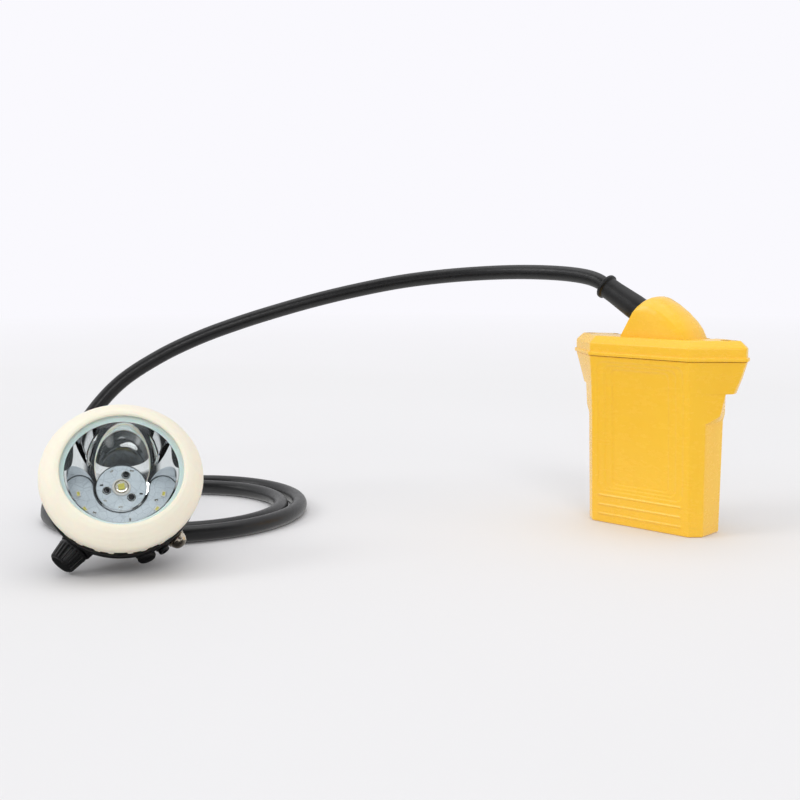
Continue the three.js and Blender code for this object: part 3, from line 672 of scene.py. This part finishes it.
PANEL_STEPS = [(26.5, 18.6, 91, 4.5), (22, 20.6, 89, 3.5), (17.5, 22.6, 87, 2.5)]
FRONT_RIBS = [5.2, 10.5, 15.8]


def front_relief(x, z):
    """How far the front stands in: stepped panel, and the grip ribs below it."""
    depth = 0.0
    for half, low, high, corner in PANEL_STEPS:
        middle, tall = (low + high) / 2, (high - low) / 2
        over_x, over_z = abs(x) - half + corner, abs(z - middle) - tall + corner
        outside = math.hypot(max(over_x, 0), max(over_z, 0)) + min(max(over_x, over_z), 0) - corner
        depth += 0.4 * smooth(0.35, -0.35, outside)
    for rib in FRONT_RIBS:
        across = smooth(0.85, 0.15, abs(z - rib))
        depth -= 0.5 * across * smooth(26.4, 25.6, abs(x))
    return depth


def side_relief(z):
    """A shallow witness line round the foot of the sides."""
    return 0.16 * smooth(0.5, 0.1, abs(z - 4.6))


def make_case():
    heights = [(0, -1.1), (0.08, -0.72), (0.3, -0.36), (0.6, -0.13), (1.1, 0)]
    z = 1.5
    while z < 93.6:
        heights.append((z, 0))
        z += 0.45
    heights += [(76.9, 0), (77.1, 0), (93.7, 0), (93.95, -0.1), (94, -0.3)]
    heights.sort()
    rings = []
    for z, grow in heights:
        ring, front = plan_ring(offset(plan_at(z), grow) if grow else plan_at(z), grow)
        row = []
        for point, on_front in zip(ring, front):
            x, y = point
            if on_front:
                y += front_relief(x, z)
            elif abs(x) > FRONT_HALF + 1.5 and y < BACK_Y - 1:
                x -= math.copysign(side_relief(z), x)
            row.append((x, y, z))
        rings.append(row)
    mesh = to_mesh("case_shell", *skin(rings))
    stand_for(show("case_shell", mesh, "yellow", 38), "lamp", "battery_case")


LID_TOP = 105
HUMP_SIDE = [
    (26, 101.5), (25.2, 105), (23, 109.8), (19.5, 114.2), (14.5, 118.9), (9, 122.8), (3, 126),
    (-2, 126.9), (-4.6, 125.2), (-17.82, 101.5),
]
HUMP_SIDE_RADII = [0, 8, 9, 12, 14, 14, 9, 4, 1.2, 0]
HUMP_SECTIONS = [
    (-11.2, 0.66, 0.86), (-9.6, 0.8, 0.93), (-6.5, 0.92, 0.97), (-2, 0.98, 0.99), (3, 1, 1),
    (8, 1, 1), (11, 0.95, 0.98), (12, 0.88, 0.95),
]


def hump_mesh():
    """The cable hump: its side view, shrunk towards the left foot in front and at the back."""
    def left_at(z):
        return -15.8 + 0.577 * (z - LID_TOP)

    side = fillet(HUMP_SIDE, HUMP_SIDE_RADII, steps=6)
    depths = fillet(HUMP_SECTIONS, [0, 1.2, 3, 4, 4, 2, 1, 0], steps=5)
    rings = []
    for y, height, length in depths:
        levels = [LID_TOP + height * (z - LID_TOP) for _, z in side]
        rings.append([
            (left_at(level) + length * (x - left_at(z)), y, level)
            for (x, z), level in zip(side, levels)
        ])
    return to_mesh("hump", *skin(rings))


def make_lid():
    profile = [(0, 94.3), (0.9, 94.3), (0.9, 96.3), (0, 96.3), (0, 101.2), (-3.8, 105), (-5.5, 105)]
    profile = fillet(profile, [0, 0.45, 0.45, 0.3, 1.4, 1.4, 0], steps=4)
    top = case_plan(*CASE_SECTIONS[-1][1:])
    rings = []
    for grow, z in dense(profile, 1.0):
        ring, _ = plan_ring(offset(top, grow), grow * 0.5)
        rings.append([(x, y, z) for x, y in ring])
    body = to_mesh("lid", *skin(rings))
    counterbore = [(0, 102.4), (2.9, 102.4), (2.9, 106), (0, 106)]
    cuts = [turned(counterbore, 32, shift(x, y, 0)) for x, y in LID_SCREWS]
    seat = turned([(0, -31), (7.2, -31), (7.2, -20), (0, -20)], 64, SLEEVE)
    hump = combine(hump_mesh(), [seat], "DIFFERENCE")
    body = combine(body, [hump], "UNION")
    body = combine(body, cuts, "DIFFERENCE")
    stand_for(show("lid_shell", body, "yellow", 38), "lamp", "battery_lid")


def cross_head(name, node, body, place, radius, base, height, look="steel"):
    """A domed screw head with a cross recess; place's Z axis points out of the head."""
    outline = [
        (0, base - 4), (1.2, base - 4), (1.2, base), (radius, base), (radius, base + height * 0.45),
        (radius * 0.8, base + height * 0.85), (radius * 0.4, base + height), (0, base + height),
    ]
    mesh = turned(fillet(outline, 0.2, steps=3), 40, place)
    reach, half = radius * 0.58, radius * 0.13
    slots = [
        block(-reach, reach, -half, half, base + height * 0.3, base + height + 1, place),
        block(-half, half, -reach, reach, base + height * 0.3, base + height + 1, place),
    ]
    mesh = combine(mesh, slots, "DIFFERENCE")
    return stand_for(show(name, mesh, look), body, node)


def make_battery_fixings():
    for i, (x, y) in enumerate(LID_SCREWS, 1):
        cross_head(f"lid_screw_head_{i}", f"lid_screw_{i}", "lamp", shift(x, y, 0), 2.5, 102.8, 2)
    for i, (x, z) in enumerate([(11, 17), (-11, 17), (11, 83), (-11, 83)], 1):
        place = shift(x, 15.8, z) @ turn(-90, "X")
        cross_head(f"belt_screw_head_{i}", f"belt_loop_screw_{i}", "lamp", place, 2.6, 0.3, 1.6)
    eased("belt_loop", "lamp", "black", 0.6, 4)


def make_battery_sleeve():
    outline = [
        (4.45, -5), (4.45, -0.2), (4.9, 0), (6.7, 0), (7.15, -0.5), (7.15, -1.8), (6.7, -2.3),
        (6.1, -2.7), (6.15, -8), (6.45, -14), (6.85, -22), (6.9, -30.7), (4.9, -30.7), (4.9, -36),
        (4.45, -36),
    ]
    radii = [0.1, 0.2, 0.2, 0.5, 0.5, 0.5, 0.5, 0.6, 3, 5, 5, 0.3, 0.3, 0.3, 0.1]
    profile = dense(fillet(outline, radii, closed=True), 1.5, closed=True)
    mesh = turned(profile, 72, SLEEVE)
    stand_for(show("battery_sleeve", mesh, "rubber"), "lamp", "battery_cable_sleeve")


make_case()
make_lid()
make_battery_fixings()
make_battery_sleeve()

# ---- headpiece -------------------------------------------------------------------------------
BEZEL_BACK = -6.2
GRIP_COUNT = 15
SKIRT_RADIUS = 35
SCALLOP_HALF = 3.1
RIM_RADIUS, RIM_Z = 26, 9.1
THROAT_RADIUS, THROAT_Z = 11.4, -7.3
POCKET_INNER, POCKET_OUTER = 12.2, 24.9
POCKET_HALF_ANGLE = 89
BOARD_TOP, BOARD_BOTTOM = -7.5, -8.9


def from_grips(angle):
    """Distance round the bezel's skirt to the nearest scallop, and to the nearest notch."""
    pitch = 2 * math.pi / GRIP_COUNT
    foot = angle + math.pi / 2
    to_scallop = SKIRT_RADIUS * ((foot + pitch / 2) % pitch - pitch / 2)
    to_notch = SKIRT_RADIUS * (foot % pitch - pitch / 2)
    return to_scallop, to_notch


def bezel_edge(angle):
    """Height of the bezel's rear edge: round scallops with square notches halfway."""
    along, half_way = from_grips(angle)
    scallop = 1.2 * math.sqrt(max(0.0, SCALLOP_HALF**2 - along**2))
    notch = 1.5 * smooth(2.05, 1.75, abs(half_way))
    return BEZEL_BACK + scallop + notch


def make_bezel():
    outline = [
        (34.9, BEZEL_BACK), (36.2, -3), (37.1, 0), (37.7, 3), (38, 5), (37.6, 7.2), (36.4, 9.2),
        (34.6, 11.2), (32.4, 13), (30.3, 13.9), (28.9, 13.9), (28.3, 13.3), (28.3, 12.6), (31, 12.6),
        (31, 1.6), (33.4, 1.6), (33.4, BEZEL_BACK),
    ]
    radii = [0.5, 6, 6, 5, 3, 4, 5, 5, 5, 2, 0.6, 0.5, 0.15, 0.2, 0.3, 0.3, 0.3]
    profile = dense(fillet(outline, radii, closed=True, steps=5), 0.8, closed=True)

    def warp(angle, radius, z):
        if z >= 1.6:
            return radius, z
        share = (1.6 - z) / (1.6 - BEZEL_BACK)
        if radius > 34.3:
            along, _ = from_grips(angle)
            radius = max(33.8, radius - 2.2 * smooth(3.4, 1.4, abs(along)) * smooth(1.5, -1.5, z))
        return radius, 1.6 + (bezel_edge(angle) - 1.6) * share

    mesh = turned(profile, 720, HEAD, warp)
    stand_for(show("bezel_fine", mesh, "cream", 40), "bezel", "bezel_ring")


def make_lens():
    outline = [(0, 9.4), (30.2, 9.4), (30.2, 12.3), (0, 12.3)]
    mesh = turned(fillet(outline, [0, 0.35, 0.35, 0]), 128, HEAD)
    stand_for(show("lens_pane", mesh, "lens"), "lens_stack", "lens")
    seal = [
        (27.9, 7.6), (30.4, 7.6), (30.4, 9.34), (26.2, 9.34), (26.2, 9.16), (27.75, 9.16),
    ]
    mesh = turned(fillet(seal, [0.3, 0.3, 0.1, 0.05, 0.05, 0.1], closed=True), 128, HEAD)
    stand_for(show("lens_seal", mesh, "silicone"), "lens_stack", "lens_gasket")


def crescent(inner, outer, z0, z1, arc_steps=120, end_steps=24):
    """An arc-shaped band round the foot of the axis, with round ends."""
    middle, half = (inner + outer) / 2, (outer - inner) / 2
    start, end = (math.radians(-90 + side * POCKET_HALF_ANGLE) for side in (-1, 1))
    outline = []
    for radius, a, b in ((outer, start, end), (inner, end, start)):
        turns = [a + (b - a) * k / arc_steps for k in range(arc_steps + 1)]
        outline += [(radius * math.cos(angle), radius * math.sin(angle)) for angle in turns]
        centre = (middle * math.cos(b), middle * math.sin(b))
        lead = b if radius == outer else b + math.pi
        outline += [
            (centre[0] + half * math.cos(lead + math.pi * k / end_steps),
             centre[1] + half * math.sin(lead + math.pi * k / end_steps))
            for k in range(1, end_steps)
        ]
    return prism(outline, z0, z1, HEAD)


def mirror_height(radius):
    share = (radius**2 - THROAT_RADIUS**2) / (RIM_RADIUS**2 - THROAT_RADIUS**2)
    return THROAT_Z + (RIM_Z - THROAT_Z) * share


def make_reflector():
    radii = [THROAT_RADIUS + (RIM_RADIUS - THROAT_RADIUS) * i / 40 for i in range(41)]
    bowl = [(radius, mirror_height(radius)) for radius in radii]
    back = [(radius + 1.4, mirror_height(radius)) for radius in radii[:36]]
    shell = [
        (THROAT_RADIUS, -8.6), *bowl, (26.1, 9.1), (27.4, 9.1), (27.6, 8.9), (27.6, 7.3),
        (30.6, 7.3), (30.6, 6), (27.3, 6), *reversed(back), (THROAT_RADIUS + 1.2, -8.6),
    ]
    cavity = [(0, -9.5), (THROAT_RADIUS, -9.5), *bowl, (RIM_RADIUS, 12), (0, 12)]
    walls = crescent(POCKET_INNER - 1, POCKET_OUTER + 1.1, -8.6, 6.6)
    walls = combine(walls, [turned(cavity, 256, HEAD)], "DIFFERENCE")
    body = combine(turned(shell, 256, HEAD), [walls], "UNION")
    body = combine(body, [crescent(POCKET_INNER, POCKET_OUTER, -12, 14)], "DIFFERENCE")
    piece = show("reflector_fine", body, "mirror", 30)
    mesh = piece.data
    back_to_head = HEAD.inverted()
    spin = HEAD.to_3x3()
    bend = (RIM_Z - THROAT_Z) / (RIM_RADIUS**2 - THROAT_RADIUS**2)
    local = [back_to_head @ (vertex.co / MM) for vertex in mesh.vertices]
    normals = [Vector(corner.vector) for corner in mesh.corner_normals]
    for polygon in mesh.polygons:
        spots = [local[i] for i in polygon.vertices]
        if all(abs(p.z - mirror_height(math.hypot(p.x, p.y))) < 0.05 for p in spots):
            if all(math.hypot(p.x, p.y) < RIM_RADIUS + 0.05 for p in spots):
                for loop, p in zip(polygon.loop_indices, spots):
                    normals[loop] = (spin @ Vector((-2 * bend * p.x, -2 * bend * p.y, 1))).normalized()
    mesh.normals_split_custom_set(normals)
    stand_for(piece, "lamp", "reflector")


def polar(radius, degrees):
    return radius * math.cos(math.radians(degrees)), radius * math.sin(math.radians(degrees))


def chip(name, place, size, height, frame_look, window_look, window=0.62):
    """A small surface-mounted part: a body with rounded edges and an inset window on top."""
    half_x, half_y = size[0] / 2, size[1] / 2
    mesh = bevelled(block(-half_x, half_x, -half_y, half_y, 0, height, place), 0.12, 2)
    piece = show(name, mesh, frame_look)
    mesh.materials.append(LOOKS[window_look])
    work = bmesh.new()
    work.from_mesh(mesh)
    up = (place.to_3x3() @ Vector((0, 0, 1))).normalized()
    work.faces.ensure_lookup_table()
    top = max(work.faces, key=lambda face: face.calc_area() * max(0.0, face.normal.dot(up)))
    inset = min(size) * (1 - window) / 2 * MM
    bmesh.ops.inset_region(work, faces=[top], thickness=inset, depth=0)
    bmesh.ops.inset_region(work, faces=[top], thickness=0.06 * MM, depth=-0.12 * MM)
    top.material_index = 1
    work.to_mesh(mesh)
    work.free()
    return piece


def make_main_light():
    holes = [polar(6.6, 73 + 120 * i) for i in range(3)]
    plate = [(0, BOARD_BOTTOM), (11.1, BOARD_BOTTOM), (11.1, BOARD_TOP), (0, BOARD_TOP)]
    mesh = turned(fillet(plate, [0, 0.12, 0.12, 0]), 128, HEAD)
    stand_for(show("main_board_fine", mesh, "board_white"), "lamp", "main_led_board")
    for i, (x, y) in enumerate(holes, 1):
        place = HEAD @ shift(x, y, 0)
        name, node = f"board_screw_head_{i}", f"board_screw_{i}"
        cross_head(name, node, "lamp", place, 1.35, -7.2, 0.9, "dark_steel")
        low, high = BOARD_TOP - 0.1, BOARD_TOP + 0.06
        ring = [(1.5, low), (2.0, low), (2.0, high), (1.5, high)]
        land = show(f"screw_land_{i}", turned(ring, 40, place), "solder")
        stand_for(land, "lamp")
    base = [
        (0, BOARD_TOP + 0.05), (4.2, BOARD_TOP + 0.05), (4.2, -6.75), (3.9, -6.5),
        (3.3, -6.45), (3.05, -6.7), (2.6, -6.75), (0, -6.75),
    ]
    mesh = turned(fillet(base, [0, 0.1, 0.2, 0.2, 0.15, 0.1, 0.1, 0]), 96, HEAD)
    stand_for(show("main_led_base", mesh, "ceramic"), "lamp", "main_led")
    collar = [(2.75, -6.8), (3.2, -6.8), (3.2, -5.9), (3.0, -5.7), (2.75, -5.9)]
    piece = show("main_led_collar", turned(fillet(collar, 0.1, closed=True), 96, HEAD), "nickel")
    stand_for(piece, "lamp")
    chip = block(-1.05, 1.05, -1.05, 1.05, -6.8, -6.35, HEAD @ turn(12, "Z"))
    die = show("main_led_die", bevelled(chip, 0.08, 2), "phosphor")
    stand_for(die, "lamp")
    turns = [math.radians(degrees) for degrees in range(0, 91, 6)]
    arc = [(2.6 * math.cos(angle), -6.6 + 2.35 * math.sin(angle)) for angle in turns]
    dome = [(0, -6.74), (2.6, -6.74), *arc[:-1], (0, -4.25)]
    piece = show("main_led_dome", turned(dome, 96, HEAD), "dome", 60)
    stand_for(piece, "lamp")
    pads = [
        (9.6, 62, 1.7, 0.8), (9.4, 118, 1.5, 0.8), (8.9, 172, 0.8, 1.5),
        (9.6, 222, 1.5, 0.8), (9.5, 268, 1.9, 0.8), (9.3, 341, 0.8, 1.5),
    ]
    for i, (radius, degrees, wide, tall) in enumerate(pads, 1):
        x, y = polar(radius, degrees)
        place = HEAD @ shift(x, y, 0) @ turn(degrees - 75, "Z")
        low, high = BOARD_TOP - 0.05, BOARD_TOP + 0.09
        pad = block(-wide / 2, wide / 2, -tall / 2, tall / 2, low, high, place)
        piece = show(f"main_pad_{i}", bevelled(pad, 0.05, 2), "solder" if i % 3 else "ink")
        stand_for(piece, "lamp")


def make_aux_light():
    board = crescent(POCKET_INNER + 0.3, POCKET_OUTER - 0.2, BOARD_BOTTOM, BOARD_TOP)
    piece = show("aux_board_fine", bevelled(board, 0.12, 2), "board_white")
    stand_for(piece, "lamp", "aux_led_board")
    for i, degrees in enumerate([-80, -56, -30, 30, 56, 80], 1):
        place = HEAD @ turn(degrees, "Z") @ shift(0, -19.2, BOARD_TOP + 0.03)
        piece = chip(f"aux_led_chip_{i}", place, (2.8, 2.0), 0.8, "ceramic", "phosphor")
        stand_for(piece, "lamp", f"aux_led_{i}")
    spots = [(-43, 17.0), (-66, 22.6), (-14, 19.4), (14, 16.4), (43, 22.2), (68, 16.8), (3, 21.8)]
    for i, (degrees, radius) in enumerate(spots, 1):
        place = HEAD @ turn(degrees, "Z") @ shift(0, -radius, BOARD_TOP + 0.03) @ turn(20 * i, "Z")
        piece = chip(f"aux_resistor_{i}", place, (1.6, 0.9), 0.45, "solder", "ink", 0.7)
        stand_for(piece, "lamp")


def make_housing():
    outline = [
        (0, -36.5), (20, -36.2), (22.8, -32), (26.4, -26), (30.8, -18), (33, -9.2), (36, -9.2),
        (36, -6.6), (33, -6.6), (33, 1), (30.4, 1), (30.4, -4.3), (29, -4.3), (29, -12),
        (26.5, -20), (22, -28), (18.5, -33.4), (0, -33.4),
    ]
    radii = [0, 3, 5, 8, 8, 0.4, 0.6, 0.6, 0.4, 0.5, 0.3, 0.3, 0.3, 2, 2, 2, 2, 0]
    profile = dense(fillet(outline, radii), 3.5)
    body = turned(profile, 144, HEAD)

    def boss(place, radius, top, foot=27.5, flare=1.2):
        shape = [
            (0, foot), (radius + flare, foot), (radius + flare * 0.35, foot + 2.6),
            (radius, top - 0.6), (radius - 0.5, top), (0, top),
        ]
        return turned(fillet(shape, [0, 0.1, 1.5, 0.5, 0.4, 0]), 56, place)

    gland = [(0, -5.5), (8.6, -5.5), (7.9, -1.5), (7.8, 0.8), (7.4, 1.2), (0, 1.2)]
    bosses = [
        boss(KNOB, 8, 34.2), boss(CHARGE, 5.4, 34.2), boss(LOCK, 3.2, 35.2), boss(PLUG, 4.7, 34.4),
        turned(fillet(gland, [0, 0.1, 1, 0.4, 0.4, 0]), 56, GLAND),
    ]
    mesh = combine(body, bosses, "UNION")
    stand_for(show("housing_fine", mesh, "black", 35), "lamp", "headpiece_housing")


def make_knob():
    ridges = 20
    outline = [
        (0, 34.6), (7.1, 34.6), (7.4, 34.9), (7.4, 35.9), (7.25, 36.2), (6.9, 39), (6.55, 41.5),
        (6.25, 43.2), (5.7, 43.75), (5.3, 43.8), (5.15, 44.2), (0, 44.2),
    ]
    profile = dense(fillet(outline, [0, 0.2, 0.2, 0.2, 0.2, 2, 2, 0.4, 0.3, 0.15, 0.2, 0]), 0.5)

    def warp(angle, radius, z):
        if radius < 5.4:
            return radius, z
        wave = 0.5 - 0.5 * math.cos(angle * ridges)
        cut = 0.85 * smooth(0.25, 0.85, wave) * smooth(36.0, 36.5, z)
        return radius - cut * smooth(5.4, 6.0, radius), z

    mesh = turned(profile, 320, KNOB, warp)
    pointer = block(-0.35, 0.35, 1.4, 4.6, 43.9, 45, KNOB)
    mesh = combine(mesh, [pointer], "DIFFERENCE")
    stand_for(show("knob_fine", mesh, "black", 40), "switch", "switch_knob")


def make_side_fittings():
    dome = [
        (0, 33), (1.8, 33), (1.8, 35.6), (4.2, 35.6), (4.15, 36.6),
        (3.6, 38.1), (2.6, 39.2), (1.3, 39.7), (0, 39.8),
    ]
    mesh = turned(fillet(dome, [0, 0, 0.1, 0.25, 1, 2, 2, 2, 0], steps=5), 72, CHARGE)
    stand_for(show("charge_dome", mesh, "nickel"), "lamp", "charge_contact")
    washer = [(2.1, 34.5), (4.7, 34.5), (4.7, 35.3), (2.1, 35.3)]
    mesh = turned(fillet(washer, 0.15, closed=True), 72, CHARGE)
    stand_for(show("charge_washer", mesh, "nickel"), "lamp", "contact_washer")
    head = [(0, 33), (1.2, 33), (1.2, 35.5), (2.7, 35.5), (2.7, 36.8), (2.4, 37.2), (0, 37.2)]
    mesh = turned(fillet(head, [0, 0, 0.1, 0.2, 0.3, 0.2, 0]), 48, LOCK)
    socket = turned([(0, 36), (1.3, 36), (1.3, 38), (0, 38)], 6, LOCK)
    mesh = combine(mesh, [socket], "DIFFERENCE")
    stand_for(show("lock_screw_fine", mesh, "dark_steel"), "lamp", "bezel_lock_screw")
    stopper = [
        (0, 32), (2.3, 32), (2.3, 34.7), (4.4, 34.7),
        (4.35, 35.9), (3.7, 36.9), (2, 37.5), (0, 37.6),
    ]
    mesh = turned(fillet(stopper, [0, 0, 0.1, 0.3, 0.8, 1, 1.5, 0]), 56, PLUG)
    stand_for(show("plug_fine", mesh, "rubber"), "lamp", "seal_plug")


def make_gland():
    nut = turned([(5.2, 1.5), (8.083, 1.5), (8.083, 6.6), (5.2, 6.6)], 6, GLAND)
    stand_for(show("gland_nut_fine", bevelled(nut, 0.4, 3), "black"), "lamp", "gland_nut")
    outline = [
        (4.4, 25), (4.4, 28.7), (4.6, 28.9), (5.2, 28.9), (5.5, 28.6), (5.7, 24), (6.1, 16),
        (6.6, 8), (6.6, 6.9), (5, 6.7), (5, 2), (4.4, 2),
    ]
    radii = [0.1, 0.15, 0.15, 0.2, 0.3, 2, 3, 0.4, 0.3, 0.1, 0.1, 0.1]
    profile = dense(fillet(outline, radii, closed=True), 0.6, closed=True)

    def warp(angle, radius, z):
        if radius < 5.3 or z < 8.5 or z > 27:
            return radius, z
        ring = 0.5 - 0.5 * math.cos(2 * math.pi * (z - 8.5) / 3.4)
        return radius - 0.45 * smooth(0.45, 0.9, ring), z

    mesh = turned(profile, 72, GLAND, warp)
    stand_for(show("gland_sleeve", mesh, "rubber", 45), "lamp", "head_cable_sleeve")


make_bezel()
make_lens()
make_reflector()
make_main_light()
make_aux_light()
make_housing()
make_knob()
make_side_fittings()
make_gland()
eased("cap_hook", "lamp", "steel", 0.3, 3)
for index in (1, 2):
    eased(f"hook_screw_{index}", "lamp", "steel", 0.15, 2)

for node, thing in frame["nodes"].items():
    thing.data.materials.clear()
    thing.data.materials.append(LOOKS[SLOT_LOOKS[NODE_SLOT[node]]])

# ---- floor and light -------------------------------------------------------------------------


BACKDROP = (0.956, 0.947, 0.99, 1)


def make_floor():
    """White table. It blends into the backdrop far away. Glossy rays see a painted reflection instead
    of the floor: a glow on the far side, dark on the camera's side, and two small glowing discs.
    """
    radius, count = 14000, 96
    turns = [2 * math.pi * i / count for i in range(count)]
    rim = [(radius * math.cos(angle), radius * math.sin(angle), 0) for angle in turns]
    mesh = to_mesh("floor", rim, [tuple(range(count))])
    look = Look("floor_paper")
    look.shader.inputs["Specular IOR Level"].default_value = 0.15
    cloud = look.noise(3, 2)
    look.put(
        Base_Color=look.ramp(cloud, [(0.3, (0.80, 0.796, 0.803)), (0.7, (0.81, 0.805, 0.815))]),
        Roughness=look.span(cloud, 0.75, 0.85),
        Normal=look.bump(look.noise(500, 3), 0.00003, 0.3),
    )

    def glow(color):
        made = look.node("ShaderNodeEmission")
        look.feed(made.inputs["Color"], color)
        return made.outputs[0]

    def mixed(share, first, second):
        made = look.node("ShaderNodeMixShader", Fac=share)
        look.feed(made.inputs[1], first)
        look.feed(made.inputs[2], second)
        return made.outputs[0]

    def away(x, y):
        made = look.node("ShaderNodeVectorMath")
        made.operation = "DISTANCE"
        look.feed(made.inputs[0], look.place)
        made.inputs[1].default_value = (x, y, 0)
        return made.outputs["Value"]

    def brighter(first, second):
        made = look.node("ShaderNodeMath", Value=first)
        made.operation = "MAXIMUM"
        look.feed(made.inputs[1], second)
        return made.outputs[0]

    # Painted reflection, seen only by glossy rays: bright beyond a line across the floor, dark on the
    # camera's side, plus two glowing discs on that dark side.
    towards = look.node("ShaderNodeVectorMath")
    towards.operation = "DOT_PRODUCT"
    look.feed(towards.inputs[0], look.place)
    towards.inputs[1].default_value = (0.6, -0.8, 0)
    near = look.span(towards.outputs["Value"], 0.9, 0.03, 0.03, 0.12)
    lit = brighter(look.span(away(-0.045, -0.248), 0.35, 0, 0.020, 0.034), near)
    lit = brighter(look.span(away(-0.116, -0.358), 1.0, 0, 0.028, 0.042), lit)
    far = mixed(look.span(away(-0.05, -0.1), 0, 1, 0.8, 2.4), look.shader.outputs[0], glow(BACKDROP))
    mirrored = look.node("ShaderNodeLightPath").outputs["Is Glossy Ray"]
    output = next(n for n in look.tree.nodes if n.type == "OUTPUT_MATERIAL")
    look.feed(output.inputs["Surface"], mixed(mirrored, far, glow(lit)))
    mesh.materials.append(look.material)
    floor = bpy.data.objects.new("floor", mesh)
    scene.collection.objects.link(floor)


def sun(name, towards, strength, spread):
    light = bpy.data.lights.new(name, "SUN")
    light.energy = strength
    light.angle = math.radians(spread)
    lamp = bpy.data.objects.new(name, light)
    lamp.rotation_euler = Vector(towards).to_track_quat("Z", "Y").to_euler()
    scene.collection.objects.link(lamp)


def make_world():
    world = bpy.data.worlds.new("studio")
    scene.world = world
    world.use_nodes = True
    tree = world.node_tree
    nodes, links = tree.nodes, tree.links
    background = nodes["Background"]
    direction = nodes.new("ShaderNodeTexCoord").outputs["Generated"]
    facing = nodes.new("ShaderNodeVectorMath")
    facing.operation = "DOT_PRODUCT"
    links.new(direction, facing.inputs[0])
    facing.inputs[1].default_value = (0.62, -0.72, 0.3)
    room = nodes.new("ShaderNodeValToRGB")
    room.color_ramp.elements[0].position = 0.15
    room.color_ramp.elements[0].color = (0.85, 0.85, 0.87, 1)
    room.color_ramp.elements[1].position = 0.62
    room.color_ramp.elements[1].color = (0.03, 0.03, 0.032, 1)
    links.new(facing.outputs["Value"], room.inputs[0])
    height = nodes.new("ShaderNodeSeparateXYZ")
    links.new(direction, height.inputs[0])
    wall = nodes.new("ShaderNodeValToRGB")
    wall.color_ramp.elements[0].position = 0.2
    wall.color_ramp.elements[0].color = (0.86, 0.86, 0.88, 1)
    wall.color_ramp.elements[1].position = 0.3
    wall.color_ramp.elements[1].color = (0, 0, 0, 1)
    links.new(height.outputs["Z"], wall.inputs[0])
    seen_room = nodes.new("ShaderNodeMixRGB")
    seen_room.blend_type = "LIGHTEN"
    seen_room.inputs[0].default_value = 1.0
    links.new(room.outputs[0], seen_room.inputs[1])
    links.new(wall.outputs[0], seen_room.inputs[2])
    path = nodes.new("ShaderNodeLightPath")
    lit = nodes.new("ShaderNodeMixRGB")
    links.new(path.outputs["Is Glossy Ray"], lit.inputs[0])
    lit.inputs[1].default_value = (0.78, 0.78, 0.79, 1)
    links.new(seen_room.outputs[0], lit.inputs[2])
    seen = nodes.new("ShaderNodeMixRGB")
    links.new(path.outputs["Is Camera Ray"], seen.inputs[0])
    links.new(lit.outputs[0], seen.inputs[1])
    seen.inputs[2].default_value = BACKDROP
    links.new(seen.outputs[0], background.inputs["Color"])
    background.inputs["Strength"].default_value = 1.0


make_floor()
make_world()
sun("sun_top", (-0.1, 0.05, 1), 0.5, 50)
sun("sun_left", (-0.55, -0.9, 0.75), 0.5, 24)
sun("sun_right", (0.9, -0.75, 0.8), 0.45, 20)
scene.view_settings.view_transform = "Standard"
